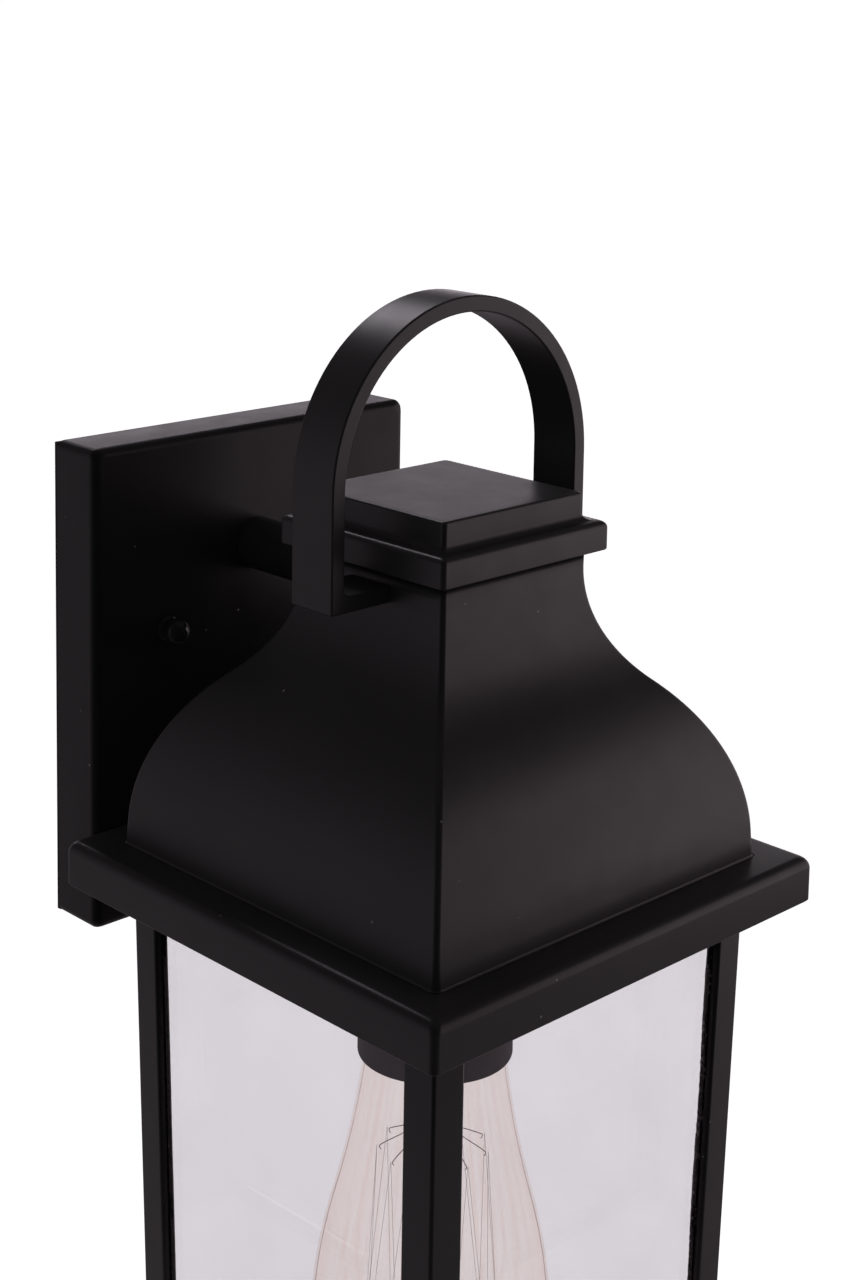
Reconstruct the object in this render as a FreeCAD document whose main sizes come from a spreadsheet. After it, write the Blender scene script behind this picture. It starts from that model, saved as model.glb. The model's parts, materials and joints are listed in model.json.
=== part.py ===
"""Outdoor wall lantern, in millimetres.

The origin is the centre of the outlet box on the wall plane (Y = 0). The lantern stands out
towards -Y, +X is to the right for someone facing the wall, and +Z is up.
Lantern pieces are drawn in a local frame on the lantern's axis, with Z = 0 on top of the rim.
"""
import FreeCAD, Part
import math
import os
import re

import Sketcher

DIMENSIONS = [
    # mounting: outlet box, bar, studs and nuts
    ("bar_length", 106), ("bar_height", 22), ("bar_thick", 2), ("bar_corner", 3),
    ("slot_spacing", 88.9), ("slot_length", 10), ("slot_radius", 2.4),
    ("stud_spacing", 70), ("stud_radius", 2.08), ("stud_length", 26.4), ("stud_play", 0.06),
    ("nut_flats", 8.7), ("nut_height", 3.2),
    ("ball_radius", 4), ("ball_neck", 3.1), ("ball_flange", 3.9), ("ball_reach", 8.6),
    ("flange_thick", 0.9), ("ball_shell", 1.8), ("ball_gap", 0.05),
    ("ground_x", 16), ("ground_radius", 2), ("ground_flats", 7), ("ground_head", 2.6),
    ("ground_stand", 1.4),
    # back plate and gasket
    ("plate_width", 121.8), ("plate_height", 143.5), ("plate_depth", 20.2), ("plate_drop", 14.8),
    ("plate_wall", 2.2), ("plate_round", 2.6), ("gasket_thick", 1.5), ("gasket_width", 6),
    ("gasket_inset", 0.6), ("stud_hole", 2.33), ("nipple_hole", 5),
    # arm between the plate and the roof's neck
    ("arm_rise", 20), ("arm_radius", 8), ("arm_wall", 1.5),
    ("nipple_radius", 4.8), ("nipple_bore", 3.4), ("nipple_end", 9.5), ("nipple_front", 19.5),
    ("hex_flats", 14.3), ("hex_height", 4), ("thin_height", 3),
    # where the lantern hangs
    ("reach", 100.6), ("rim_level", -53),
    # rim
    ("rim_width", 150), ("rim_height", 13), ("rim_wall", 2.5), ("rim_round", 3), ("rim_corner", 1.6),
    ("rim_opening", 90), ("screw_place", 51),
    # roof: half widths at each height of its S-shaped side
    ("roof_wall", 2.2), ("roof_top", 88), ("roof_lid", 3),
    ("neck_half", 28), ("neck_foot", 83.1), ("join_half", 42.2), ("join_rise", 50.8),
    ("skirt_half", 62.8), ("skirt_rise", 7.6), ("base_half", 63.2),
    ("hollow_curve", 43.8), ("crown_curve", 63.5), ("join_in", 1.48), ("join_down", 1.63),
    ("pad_height", 12), ("pad_inner", 46), ("boss_radius", 9), ("boss_depth", 2),
    ("close_fit", 0.1), ("loose_fit", 0.25),
    # cap
    ("cap_half", 32.45), ("cap_face", 6.3), ("cap_round", 1.9), ("cap_ledge", 29.5),
    ("cap_cove", 2.2), ("tier_half", 27.2), ("cap_height", 16.2), ("tier_round", 0.8),
    ("cap_hollow", 52), ("cap_boss", 8.5), ("cap_depth", 11.5), ("cove_slack", 0.1),
    # loop over the cap
    ("loop_half", 49), ("loop_width", 16.2), ("loop_thick", 4.6), ("loop_centre", 110.3),
    ("loop_foot", 78.8), ("loop_bend", 2.2), ("loop_screw", 1.5), ("loop_head", 2.8),
    ("loop_grip", 9), ("loop_head_height", 2),
    # cage
    ("cage_half", 61.44), ("cage_top", -2.5), ("cage_length", 180), ("cage_taper", 0.018),
    ("leg_width", 9.8), ("leg_thick", 1.6), ("band_height", 10), ("band_lip", 8),
    ("frame_thick", 3), ("frame_half", 59.7), ("frame_opening", 92),
    ("seal_thick", 0.6), ("seal_edge", 1.1), ("pane_thick", 2.4), ("pane_gap", 0.4),
    ("cage_screw", 2), ("cage_head", 3.6), ("cage_head_height", 2.4), ("cage_grip", 7),
    # centre rod and lampholder
    ("rod_top", 98), ("rod_bottom", -15.8), ("rod_play", 0.3),
    ("cover_top", -6), ("cover_length", 53.4), ("cover_radius", 20.8), ("cover_wall", 1),
    ("strap_thick", 1.2), ("strap_length", 32), ("strap_width", 14),
    ("holder_radius", 17.3), ("holder_top", -11.2), ("holder_bottom", -46), ("holder_recess", 8.8),
    ("holder_screw", 12.6), ("screw_shell", 14), ("shell_wall", 0.45), ("shell_top", -18.4),
    ("shell_lip", 0.4), ("strap_screw", 1.5), ("strap_head", 2.8), ("strap_head_height", 1.7),
    ("strap_grip", 7), ("terminal_x", 5.5), ("terminal_y", 12.5), ("terminal_half", 2),
    ("terminal_reach", 3), ("terminal_thick", 0.8), ("terminal_head", 1.6),
    ("entry_y", 14.2), ("entry_radius", 1.4), ("leaf_half", 4), ("leaf_width", 2.2), ("leaf_thick", 0.5),
    # bulb, from its contact down to its tip
    ("bulb_contact", -20.2), ("bulb_cap_radius", 13.1), ("bulb_cap_foot", -45.6),
    ("bulb_cap_wall", 0.3), ("bulb_shoulder", 4), ("bulb_rim", 1.4), ("bulb_button", 1.2),
    ("insulator_half", 6.4), ("contact_half", 2.5),
    ("glass_thick", 0.8), ("glass_sunk", 3), ("glass_mouth", 18.9), ("glass_mouth_z", -60),
    ("glass_flank", 27.9), ("glass_flank_z", -105), ("glass_half", 33.3), ("glass_wide_z", -137),
    ("flank_hollow", 290), ("flank_crown", 165), ("neck_crown", 26),
    ("stem_pin", 1.3), ("hook_wire", 0.35), ("filament_wire", 0.25),
    ("stem_tip_z", -149), ("stem_neck_z", -78), ("stem_swell_z", -74), ("stem_flare_z", -64), ("stem_lid", 1),
    ("cage_upper_z", -88), ("cage_lower_z", -146),
    ("cage_upper_radius", 14.5), ("cage_lower_radius", 18),
    # wiring
    ("lead_radius", 0.95), ("lead_spread", 1.25), ("earth_radius", 0.35), ("earth_ring", 0.8),
    ("ring_width", 2.2), ("eye_width", 1.7),
    ("connector_radius", 4.2), ("connector_tip", 2.6), ("connector_length", 15), ("connector_x", 20),
]
HAIRPINS = 9

doc = FreeCAD.newDocument("WallLantern")
sheet = doc.addObject("Spreadsheet::Sheet", "Dims")
for row, (alias, size) in enumerate(DIMENSIONS, start=1):
    sheet.set(f"A{row}", alias)
    sheet.set(f"B{row}", str(size))
    sheet.setAlias(f"B{row}", alias)
doc.recompute()

ALIASES = {alias for alias, _ in DIMENSIONS}
nodes = []


def value(expression):
    """The number that an expression in the sheet's aliases gives."""
    return float(sheet.evalExpression(str(expression)))


def bound(expression):
    """The same expression, written for an object outside the sheet."""
    return re.sub(r"[a-z_]+", lambda m: f"Dims.{m[0]}" if m[0] in ALIASES else m[0], str(expression))


def bind(thing, **properties):
    for name, expression in properties.items():
        thing.setExpression(name, bound(expression))


def place(thing, x=0, y=0, z=0):
    for axis, expression in zip("xyz", (x, y, z)):
        thing.setExpression(f"Placement.Base.{axis}", bound(expression))


def node(thing, label, x=0, y=0, z=0):
    """Register a finished sub-part: its Label names its file."""
    thing.Label = label
    place(thing, x, y, z)
    nodes.append(thing)
    return thing


def on_axis(thing, label):
    """Register a sub-part that was drawn in the lantern's own frame."""
    return node(thing, label, 0, "-reach", "rim_level")


# ---------------------------------------------------------------- sketches and bodies

def new_body(name):
    return doc.addObject("PartDesign::Body", name)


def new_sketch(body, plane, offset=0):
    """A sketch on one of the body's own origin planes, moved along the plane's normal."""
    sketch = body.newObject("Sketcher::SketchObject", f"{body.Name}_sketch")
    origin = [f for f in body.Origin.OriginFeatures if f.Role == plane][0]
    sketch.AttachmentSupport = (origin, [""])
    sketch.MapMode = "FlatFace"
    sketch.setExpression("AttachmentOffset.Base.z", bound(offset))
    return sketch


def pin(sketch, geometry, end, point):
    """Hold one end of a line or arc, or a circle's centre, at a point given by expressions."""
    for kind, expression in zip(("DistanceX", "DistanceY"), point):
        rule = Sketcher.Constraint(kind, -1, 1, geometry, end, value(expression))
        index = sketch.addConstraint(rule)
        sketch.setExpression(f"Constraints[{index}]", bound(expression))


def arc_between(start, end, radius, left):
    """A short arc between two points, bulging to the left or the right of the way from start to end."""
    chord = end - start
    middle = (start + end) / 2
    normal = FreeCAD.Vector(-chord.y, chord.x, 0).normalize()
    depth = math.sqrt(max(radius ** 2 - (chord.Length / 2) ** 2, 0))
    centre = middle - normal * depth if left else middle + normal * depth
    first, last = (end, start) if left else (start, end)
    angles = [math.atan2(p.y - centre.y, p.x - centre.x) for p in (first, last)]
    circle = Part.Circle(centre, FreeCAD.Vector(0, 0, 1), radius)
    return Part.ArcOfCircle(circle, *angles)


def add_outline(sketch, points, arcs=None):
    """A closed outline through points given as pairs of expressions.

    arcs maps a side's number to its radius; a minus sign before it makes that side bulge right.
    """
    arcs = arcs or {}
    corners = [FreeCAD.Vector(value(x), value(y), 0) for x, y in points]
    sides = []
    for index, start in enumerate(corners):
        end = corners[(index + 1) % len(corners)]
        if index in arcs:
            left = not str(arcs[index]).startswith("-")
            radius = str(arcs[index]).lstrip("-")
            geometry = sketch.addGeometry(arc_between(start, end, value(radius), left), False)
            rule = sketch.addConstraint(Sketcher.Constraint("Radius", geometry, value(radius)))
            sketch.setExpression(f"Constraints[{rule}]", bound(radius))
            sides.append((geometry, 2, 1) if left else (geometry, 1, 2))
        else:
            sides.append((sketch.addGeometry(Part.LineSegment(start, end), False), 1, 2))
    for index, (geometry, first, _) in enumerate(sides):
        before, _, last = sides[index - 1]
        sketch.addConstraint(Sketcher.Constraint("Coincident", before, last, geometry, first))
        pin(sketch, geometry, first, points[index])
    return sketch


def add_circle(sketch, radius, x=0, y=0):
    centre = FreeCAD.Vector(value(x), value(y), 0)
    circle = Part.Circle(centre, FreeCAD.Vector(0, 0, 1), value(radius))
    geometry = sketch.addGeometry(circle, False)
    rule = sketch.addConstraint(Sketcher.Constraint("Radius", geometry, value(radius)))
    sketch.setExpression(f"Constraints[{rule}]", bound(radius))
    pin(sketch, geometry, 3, (x, y))


def rectangle(half_x, half_y, x=0, y=0):
    return [(f"{x}-({half_x})", f"{y}-({half_y})"), (f"{x}+({half_x})", f"{y}-({half_y})"),
            (f"{x}+({half_x})", f"{y}+({half_y})"), (f"{x}-({half_x})", f"{y}+({half_y})")]


def hexagon(flats, x=0, y=0):
    reach = f"({flats})/1.7320508"
    return [(f"{x}+{reach}*{math.cos(math.radians(60 * i)):.6f}",
             f"{y}+{reach}*{math.sin(math.radians(60 * i)):.6f}") for i in range(6)]


def pad(body, sketch, length, both_ways=False, reverse=False):
    feature = body.newObject("PartDesign::Pad", f"{body.Name}_pad")
    feature.Profile = sketch
    feature.Midplane = both_ways
    feature.Reversed = reverse
    bind(feature, Length=length)
    doc.recompute()
    return feature


def pocket(body, sketch, length, both_ways=False, reverse=False):
    """Cut a sketch into the body, and make sure that it did cut."""
    before = body.Shape.Volume
    feature = body.newObject("PartDesign::Pocket", f"{body.Name}_pocket")
    feature.Profile = sketch
    feature.Midplane = both_ways
    feature.Reversed = reverse
    bind(feature, Length=length)
    doc.recompute()
    assert body.Shape.Volume < before, f"a pocket in {body.Name} cuts nothing"
    return feature


def turned(name, points, arcs=None):
    """A body turned about Z from an outline in the XZ plane: x is the radius and y the height."""
    body = new_body(name)
    sketch = add_outline(new_sketch(body, "XZ_Plane"), points, arcs)
    feature = body.newObject("PartDesign::Revolution", f"{name}_turn")
    feature.Profile = sketch
    feature.ReferenceAxis = (sketch, ["V_Axis"])
    feature.Angle = 360
    doc.recompute()
    return body


def rounded(body, radius, wanted):
    """Fillet the edges of the body's tip whose midpoint passes the test."""
    edges = [f"Edge{i}" for i, edge in enumerate(body.Shape.Edges, start=1)
             if wanted(edge.CenterOfMass)]
    base = body.Tip
    feature = body.newObject("PartDesign::Fillet", f"{body.Name}_round")
    feature.Base = (base, edges)
    bind(feature, Radius=radius)
    doc.recompute()
    return feature


# ---------------------------------------------------------------- primitives and booleans

def turn_to(thing, axis):
    """Turn a primitive that stands along Z so that it lies along the axis."""
    turns = {"Z": (0, 0, 1, 0), "Y": (1, 0, 0, -90), "-Y": (1, 0, 0, 90), "X": (0, 1, 0, 90)}
    x, y, z, angle = turns[axis]
    thing.Placement = FreeCAD.Placement(
        FreeCAD.Vector(), FreeCAD.Rotation(FreeCAD.Vector(x, y, z), angle))


def rod(name, radius, length, x=0, y=0, z=0, axis="Z"):
    thing = doc.addObject("Part::Cylinder", name)
    bind(thing, Radius=radius, Height=length)
    turn_to(thing, axis)
    place(thing, x, y, z)
    return thing


def block(name, half_x, half_y, height, x=0, y=0, z=0):
    """A box centred on x and y that rises from z."""
    thing = doc.addObject("Part::Box", name)
    bind(thing, Length=f"2*({half_x})", Width=f"2*({half_y})", Height=height)
    place(thing, f"{x}-({half_x})", f"{y}-({half_y})", z)
    return thing


def prism(name, outline, height, x=0, y=0, z=0, axis="Z"):
    """A straight prism on an outline, standing along the axis."""
    body = new_body(name)
    pad(body, add_outline(new_sketch(body, "XY_Plane"), outline), height)
    turn_to(body, axis)
    place(body, x, y, z)
    return body


def cut(name, base, *tools):
    for index, tool in enumerate(tools):
        thing = doc.addObject("Part::Cut", f"{name}_cut{index}")
        thing.Base, thing.Tool = base, tool
        base = thing
    doc.recompute()
    return base


def fuse(name, *things):
    thing = doc.addObject("Part::MultiFuse", f"{name}_joined")
    thing.Shapes = list(things)
    doc.recompute()
    return thing


def common(name, *things):
    thing = doc.addObject("Part::MultiCommon", f"{name}_shared")
    thing.Shapes = list(things)
    doc.recompute()
    return thing


def group(name, *things):
    """Identical fasteners, kept as separate solids in one sub-part."""
    thing = doc.addObject("Part::Compound", f"{name}_group")
    thing.Links = list(things)
    doc.recompute()
    return thing


def sleeve(name, radius, bore, length, x=0, y=0, z=0, axis="Z"):
    """A straight tube."""
    return cut(name, rod(f"{name}_outer", radius, length, x, y, z, axis),
               rod(f"{name}_bore", bore, length, x, y, z, axis))


def hex_nut(name, flats, height, bore, x=0, y=0, z=0, axis="Z"):
    return cut(name, prism(f"{name}_hex", hexagon(flats), height, x, y, z, axis),
               rod(f"{name}_bore", bore, height, x, y, z, axis))


def square_turned(name, points, arcs, span):
    """A solid whose silhouette is the same from the front and from the side.

    The front silhouette is padded, then the waste outside the side silhouette is cut away.
    points run up the right-hand side, from the bottom to the top.
    """
    left = [(f"-({x})", z) for x, z in reversed(points)]
    side_count = len(points)
    mirrored = {2 * side_count - 2 - index: radius for index, radius in arcs.items()}
    outline, all_arcs = points + left, {**arcs, **mirrored}
    body = new_body(name)
    pad(body, add_outline(new_sketch(body, "XZ_Plane"), outline, all_arcs), f"2*({span})", True)
    waste = new_sketch(body, "YZ_Plane")
    add_outline(waste, outline, all_arcs)
    low, high = points[0][1], points[-1][1]
    frame = [(f"-2*({span})", f"{low}-1"), (f"2*({span})", f"{low}-1"),
             (f"2*({span})", f"{high}+1"), (f"-2*({span})", f"{high}+1")]
    add_outline(waste, frame)
    pocket(body, waste, f"4*({span})", True)
    return body


def bent_wire(label, points, radius):
    """A round wire along straight runs joined by tangent arcs, as large as the runs allow."""
    points = [FreeCAD.Vector(*[value(c) for c in p]) for p in points]
    edges, start = [], points[0]
    for before, corner, after in zip(points, points[1:], points[2:]):
        inward, outward = (before - corner).normalize(), (after - corner).normalize()
        run = 0.45 * min((before - corner).Length, (after - corner).Length)
        first, last = corner + inward * run, corner + outward * run
        half = (inward.getAngle(outward)) / 2
        middle = corner + (inward + outward).normalize() * (run / math.cos(half)
                                                           - run * math.tan(half))
        edges += [Part.LineSegment(start, first).toShape(), Part.Arc(first, middle, last).toShape()]
        start = last
    edges.append(Part.LineSegment(start, points[-1]).toShape())
    path = Part.Wire(edges)
    ring = Part.Wire([Part.Circle(points[0], points[1] - points[0], radius).toShape()])
    solid = path.makePipeShell([ring], True, False, 1)
    assert abs(solid.Volume / (math.pi * radius ** 2 * path.Length) - 1) < 0.01, label
    return solid


def made_in_code(label, shape):
    """A sub-part whose Shape is made in code, because no feature fits it."""
    thing = doc.addObject("Part::Feature", label)
    thing.Shape = shape
    return thing


# ---------------------------------------------------------------- mounting hardware

def make_mounting():
    bar = new_body("bar")
    pad(bar, add_outline(new_sketch(bar, "XZ_Plane"), rectangle("bar_length/2", "bar_height/2")),
        "bar_thick")
    rounded(bar, "bar_corner", lambda p: abs(p.x) > value("bar_length/2-1")
            and abs(p.z) > value("bar_height/2-1"))
    holes = new_sketch(bar, "XZ_Plane")
    for side in (-1, 1):
        add_slot(holes, f"{side}*slot_spacing/2")
        add_circle(holes, "stud_radius", f"{side}*stud_spacing/2")
    add_circle(holes, "ground_radius", "ground_x", 0)
    pocket(bar, holes, "4*bar_thick", True)
    node(bar, "mounting_bar")

    places = [f"{side}*stud_spacing/2" for side in (-1, 1)]
    studs = [rod("stud", "stud_radius", "stud_length", x, 0, 0, "-Y") for x in places]
    node(group("studs", *studs), "mounting_studs")
    nuts = [hex_nut("lock_nut", "nut_flats", "nut_height", "stud_radius", x, "-bar_thick", 0, "-Y")
            for x in places]
    node(group("lock_nuts", *nuts), "stud_lock_nuts")
    for side, x in zip(("left", "right"), places):
        node(make_ball_nut(side), f"ball_nut_{side}", x, "-plate_depth-ball_gap")

    shank = rod("ground_shank", "ground_radius", "bar_thick+ground_stand", 0, 0, 0, "-Y")
    head = prism("ground_hex", hexagon("ground_flats"), "ground_head",
                 0, "-bar_thick-ground_stand", 0, "-Y")
    node(fuse("ground", shank, head), "ground_screw", "ground_x")


def add_slot(sketch, x):
    """A slot that runs along the sketch's x axis."""
    straight = "(slot_length/2-slot_radius)"
    points = [(f"{x}-{straight}", "-slot_radius"), (f"{x}+{straight}", "-slot_radius"),
              (f"{x}+slot_length/2", 0), (f"{x}+{straight}", "slot_radius"),
              (f"{x}-{straight}", "slot_radius"), (f"{x}-slot_length/2", 0)]
    add_outline(sketch, points, {side: "-slot_radius" for side in (1, 2, 4, 5)})


def make_ball_nut(side):
    """A ball on a short flange, turned about the way it points, -Y, with a blind bore."""
    bore, centre = "(stud_radius+stud_play)", "(ball_reach-ball_radius)"
    seat = f"({centre}-sqrt(ball_radius^2-ball_neck^2))"
    points = [(bore, 0), ("ball_flange", 0), ("ball_flange", "-flange_thick"),
              ("ball_neck", "-flange_thick"), ("ball_neck", f"-{seat}"),
              ("ball_radius", f"-{centre}"), (0, "-ball_reach"), (0, "ball_shell-ball_reach"),
              (bore, "ball_shell-ball_reach")]
    body = new_body(f"ball_{side}")
    sketch = new_sketch(body, "XY_Plane")
    add_outline(sketch, points, {4: "ball_radius", 5: "ball_radius"})
    turn = body.newObject("PartDesign::Revolution", f"ball_{side}_turn")
    turn.Profile = sketch
    turn.ReferenceAxis = (sketch, ["V_Axis"])
    turn.Angle = 360
    doc.recompute()
    return body


# ---------------------------------------------------------------- back plate

def make_plate():
    plate = new_body("plate")
    front = new_sketch(plate, "XZ_Plane", "gasket_thick")
    add_outline(front, rectangle("plate_width/2", "plate_height/2"))
    pad(plate, front, "plate_depth-gasket_thick")
    front_y = -value("plate_depth")
    rounded(plate, "plate_round", lambda p: abs(p.y - front_y) < 0.01
            or (abs(p.x) > value("plate_width/2-1") and abs(p.z) > value("plate_height/2-1")))
    hollow = new_sketch(plate, "XZ_Plane", "gasket_thick")
    add_outline(hollow, rectangle("plate_width/2-plate_wall", "plate_height/2-plate_wall"))
    pocket(plate, hollow, "plate_depth-gasket_thick-plate_wall", reverse=True)
    holes = new_sketch(plate, "XZ_Plane", "plate_depth-plate_wall-1")
    for side in (-1, 1):
        add_circle(holes, "stud_hole", f"{side}*stud_spacing/2", "plate_drop")
    add_circle(holes, "nipple_hole", 0, "arm_rise+plate_drop")
    pocket(plate, holes, "plate_wall+2", reverse=True)
    node(plate, "back_plate", 0, 0, "-plate_drop")

    gasket = new_body("gasket")
    ring = new_sketch(gasket, "XZ_Plane")
    add_outline(ring, rectangle("plate_width/2-gasket_inset", "plate_height/2-gasket_inset"))
    add_outline(ring, rectangle("plate_width/2-gasket_width", "plate_height/2-gasket_width"))
    pad(gasket, ring, "gasket_thick")
    node(gasket, "wall_gasket", 0, 0, "-plate_drop")


# ---------------------------------------------------------------- arm

def make_arm(roof_solid):
    """The arm is drawn in the lantern's frame, where its back end is at the plate's front."""
    rise, back = "(arm_rise-rim_level)", "(reach-plate_depth)"
    tube = sleeve("arm", "arm_radius", "arm_radius-arm_wall", back, 0, back, rise, "-Y")
    on_axis(cut("arm_coped", tube, roof_solid), "arm_tube")
    far = "(reach-nipple_end)"
    nipple = sleeve("nipple", "nipple_radius", "nipple_bore", f"{far}-nipple_front", 0, far, rise, "-Y")
    on_axis(nipple, "arm_nipple")
    inside = "(reach-plate_depth+plate_wall+earth_ring)"
    rear = hex_nut("rear_nut", "hex_flats", "hex_height", "nipple_radius",
                   0, f"{inside}+hex_height", rise, "-Y")
    front = hex_nut("front_nut", "hex_flats", "thin_height", "nipple_radius",
                    0, "neck_half-roof_wall-boss_depth", rise, "-Y")
    on_axis(group("arm_nuts", rear, front), "arm_nuts")


# ---------------------------------------------------------------- roof, rim, cap and loop

def roof_profile(wall):
    """Points up the right-hand side of the roof, inset by the wall's thickness, and its two arcs."""
    if wall:
        return [("base_half-roof_wall", -1), ("skirt_half-roof_wall", "skirt_rise"),
                ("join_half-join_in", "join_rise-join_down"), ("neck_half-roof_wall", "neck_foot"),
                ("neck_half-roof_wall", "roof_top-roof_lid")], \
               {1: "-(crown_curve-roof_wall)", 2: "(hollow_curve+roof_wall)"}
    return [("base_half", 0), ("skirt_half", "skirt_rise"), ("join_half", "join_rise"),
            ("neck_half", "neck_foot"), ("neck_half", "roof_top")], \
           {1: "-crown_curve", 2: "hollow_curve"}


def make_roof():
    outer = square_turned("roof_outer", *roof_profile(False), "base_half")
    inner = square_turned("roof_inner", *roof_profile(True), "base_half")
    shell = cut("roof_shell", outer, inner)
    half, middle = "(base_half-pad_inner)/2", "(base_half+pad_inner)/2"
    extra = []
    for sx in (-1, 1):
        for sy in (-1, 1):
            corner = block("corner_pad", half, half, "pad_height", f"{sx}*{middle}", f"{sy}*{middle}")
            extra.append(common("corner_fitted", corner, outer))
    boss = rod("arm_boss", "boss_radius", "neck_half/2", 0, "neck_half-roof_wall-boss_depth",
               "arm_rise-rim_level", "Y")
    extra.append(common("boss_fitted", boss, outer))
    solid = fuse("roof", shell, *extra)
    holes = [rod("pad_hole", "cage_screw", "pad_height-2", f"{sx}*screw_place", f"{sy}*screw_place")
             for sx in (-1, 1) for sy in (-1, 1)]
    holes.append(rod("arm_hole", "nipple_radius+close_fit", "neck_half", 0, "neck_half/2",
                     "arm_rise-rim_level", "Y"))
    holes.append(rod("rod_hole", "nipple_radius+rod_play", "2*roof_lid", 0, 0, "roof_top-1.5*roof_lid"))
    for start in ("-1.2*neck_half", "0.8*neck_half"):
        holes.append(rod("loop_hole", "loop_screw+loose_fit", "0.4*neck_half", start, 0,
                         "loop_foot+loop_thick/2", "X"))
    on_axis(cut("roof_done", solid, *holes), "roof_shell")
    return outer


def make_rim():
    rim = new_body("rim")
    pad(rim, add_outline(new_sketch(rim, "XY_Plane"), rectangle("rim_width/2", "rim_width/2")),
        "rim_height", reverse=True)
    edge = value("rim_width/2-1")
    rounded(rim, "rim_corner", lambda p: abs(p.x) > edge and abs(p.y) > edge)
    rounded(rim, "rim_round", lambda p: abs(p.z) < 0.01)
    under = new_sketch(rim, "XY_Plane", "-rim_height")
    add_outline(under, rectangle("rim_width/2-rim_wall", "rim_width/2-rim_wall"))
    pocket(rim, under, "rim_height-rim_wall", reverse=True)
    holes = new_sketch(rim, "XY_Plane")
    add_outline(holes, rectangle("rim_opening/2", "rim_opening/2"))
    for sx in (-1, 1):
        for sy in (-1, 1):
            add_circle(holes, "cage_screw+loose_fit", f"{sx}*screw_place", f"{sy}*screw_place")
    pocket(rim, holes, "3*rim_wall", True)
    on_axis(rim, "roof_rim")


def make_cap():
    top, low = "(roof_top+cap_height)", "roof_top"
    ledge = f"({low}+cap_face+cap_round)"
    points = [("cap_half", low), ("cap_half", f"{low}+cap_face"), ("cap_half-cap_round", ledge),
              ("cap_ledge", ledge), ("tier_half", f"{ledge}+cap_cove"),
              ("tier_half", f"{top}-tier_round"), ("tier_half-tier_round", top)]
    solid = square_turned("cap", points, {1: "-cap_round", 3: "(cap_cove+cove_slack)", 5: "-tier_round"},
                          "cap_half")
    room = cut("cap_room", block("cap_space", "cap_hollow/2", "cap_hollow/2", "cap_depth", 0, 0, low),
               rod("cap_boss", "cap_boss", "cap_depth", 0, 0, low))
    bore = rod("cap_bore", "nipple_radius", "rod_top-roof_top", 0, 0, low)
    on_axis(cut("cap_done", solid, room, bore), "roof_cap")


def make_loop(roof_solid):
    """A flat bar: a half circle on straight legs, whose feet turn in to the sides of the neck."""
    loop = new_body("loop")
    sketch = new_sketch(loop, "XZ_Plane")
    inner = "(loop_half-loop_thick)"
    foot_top, arch = "(loop_foot+loop_thick)", "loop_centre"
    add_outline(sketch, [
        ("loop_half", "loop_foot"), ("loop_half", arch), (0, f"{arch}+loop_half"),
        ("-loop_half", arch), ("-loop_half", "loop_foot"), ("-neck_half", "loop_foot"),
        ("-neck_half", foot_top), (f"-({inner}-loop_bend)", foot_top),
        (f"-{inner}", f"{foot_top}+loop_bend"), (f"-{inner}", arch), (0, f"{arch}+{inner}"),
        (inner, arch), (inner, f"{foot_top}+loop_bend"), (f"{inner}-loop_bend", foot_top),
        ("neck_half", foot_top), ("neck_half", "loop_foot")],
        {1: "-loop_half", 2: "-loop_half", 7: "-loop_bend", 9: inner, 10: inner, 12: "-loop_bend"})
    pad(loop, sketch, "loop_width", True)
    height = "(loop_foot+loop_thick/2)"
    tapped = [rod("foot_hole", "loop_screw", "loop_grip", start, 0, height, "X")
              for start in ("neck_half-roof_wall", "roof_wall-neck_half-loop_grip")]
    on_axis(cut("loop_done", loop, roof_solid, *tapped), "loop_handle")
    screws = []
    inside = "(neck_half-roof_wall)"
    for start, head in ((inside, f"{inside}-loop_head_height"), (f"-{inside}-loop_grip", f"-{inside}")):
        screws.append(fuse(
            "loop_screw", rod("loop_shank", "loop_screw", "loop_grip", start, 0, height, "X"),
            rod("loop_cheese", "loop_head", "loop_head_height", head, 0, height, "X")))
    on_axis(group("loop_screws", *screws), "loop_screws")


# ---------------------------------------------------------------- cage

CORNERS = {"front_left": (-1, -1), "front_right": (1, -1), "rear_left": (-1, 1), "rear_right": (1, 1)}


def tapered(name, outline_at, high, low):
    """A loft between the outlines that a function gives for two heights."""
    body = new_body(name)
    profiles = [add_outline(new_sketch(body, "XY_Plane", z), outline_at(z)) for z in (high, low)]
    loft = body.newObject("PartDesign::AdditiveLoft", f"{name}_loft")
    loft.Profile = profiles[0]
    loft.Sections = profiles[1:]
    loft.Ruled = True
    doc.recompute()
    return body


def half_at(z):
    """The cage's half width at a height."""
    return f"(cage_half-cage_taper*(cage_top-({z})))"


def corner_outline(sx, sy, near, far, width):
    """An L in one corner, between two distances in from the outside, with legs of a width."""
    def outline(z):
        half = half_at(z)
        steps = [(near, near), (width, near), (width, far), (far, far), (far, width), (near, width)]
        return [(f"{sx}*({half}-({a}))", f"{sy}*({half}-({b}))") for a, b in steps]
    return outline


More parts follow.
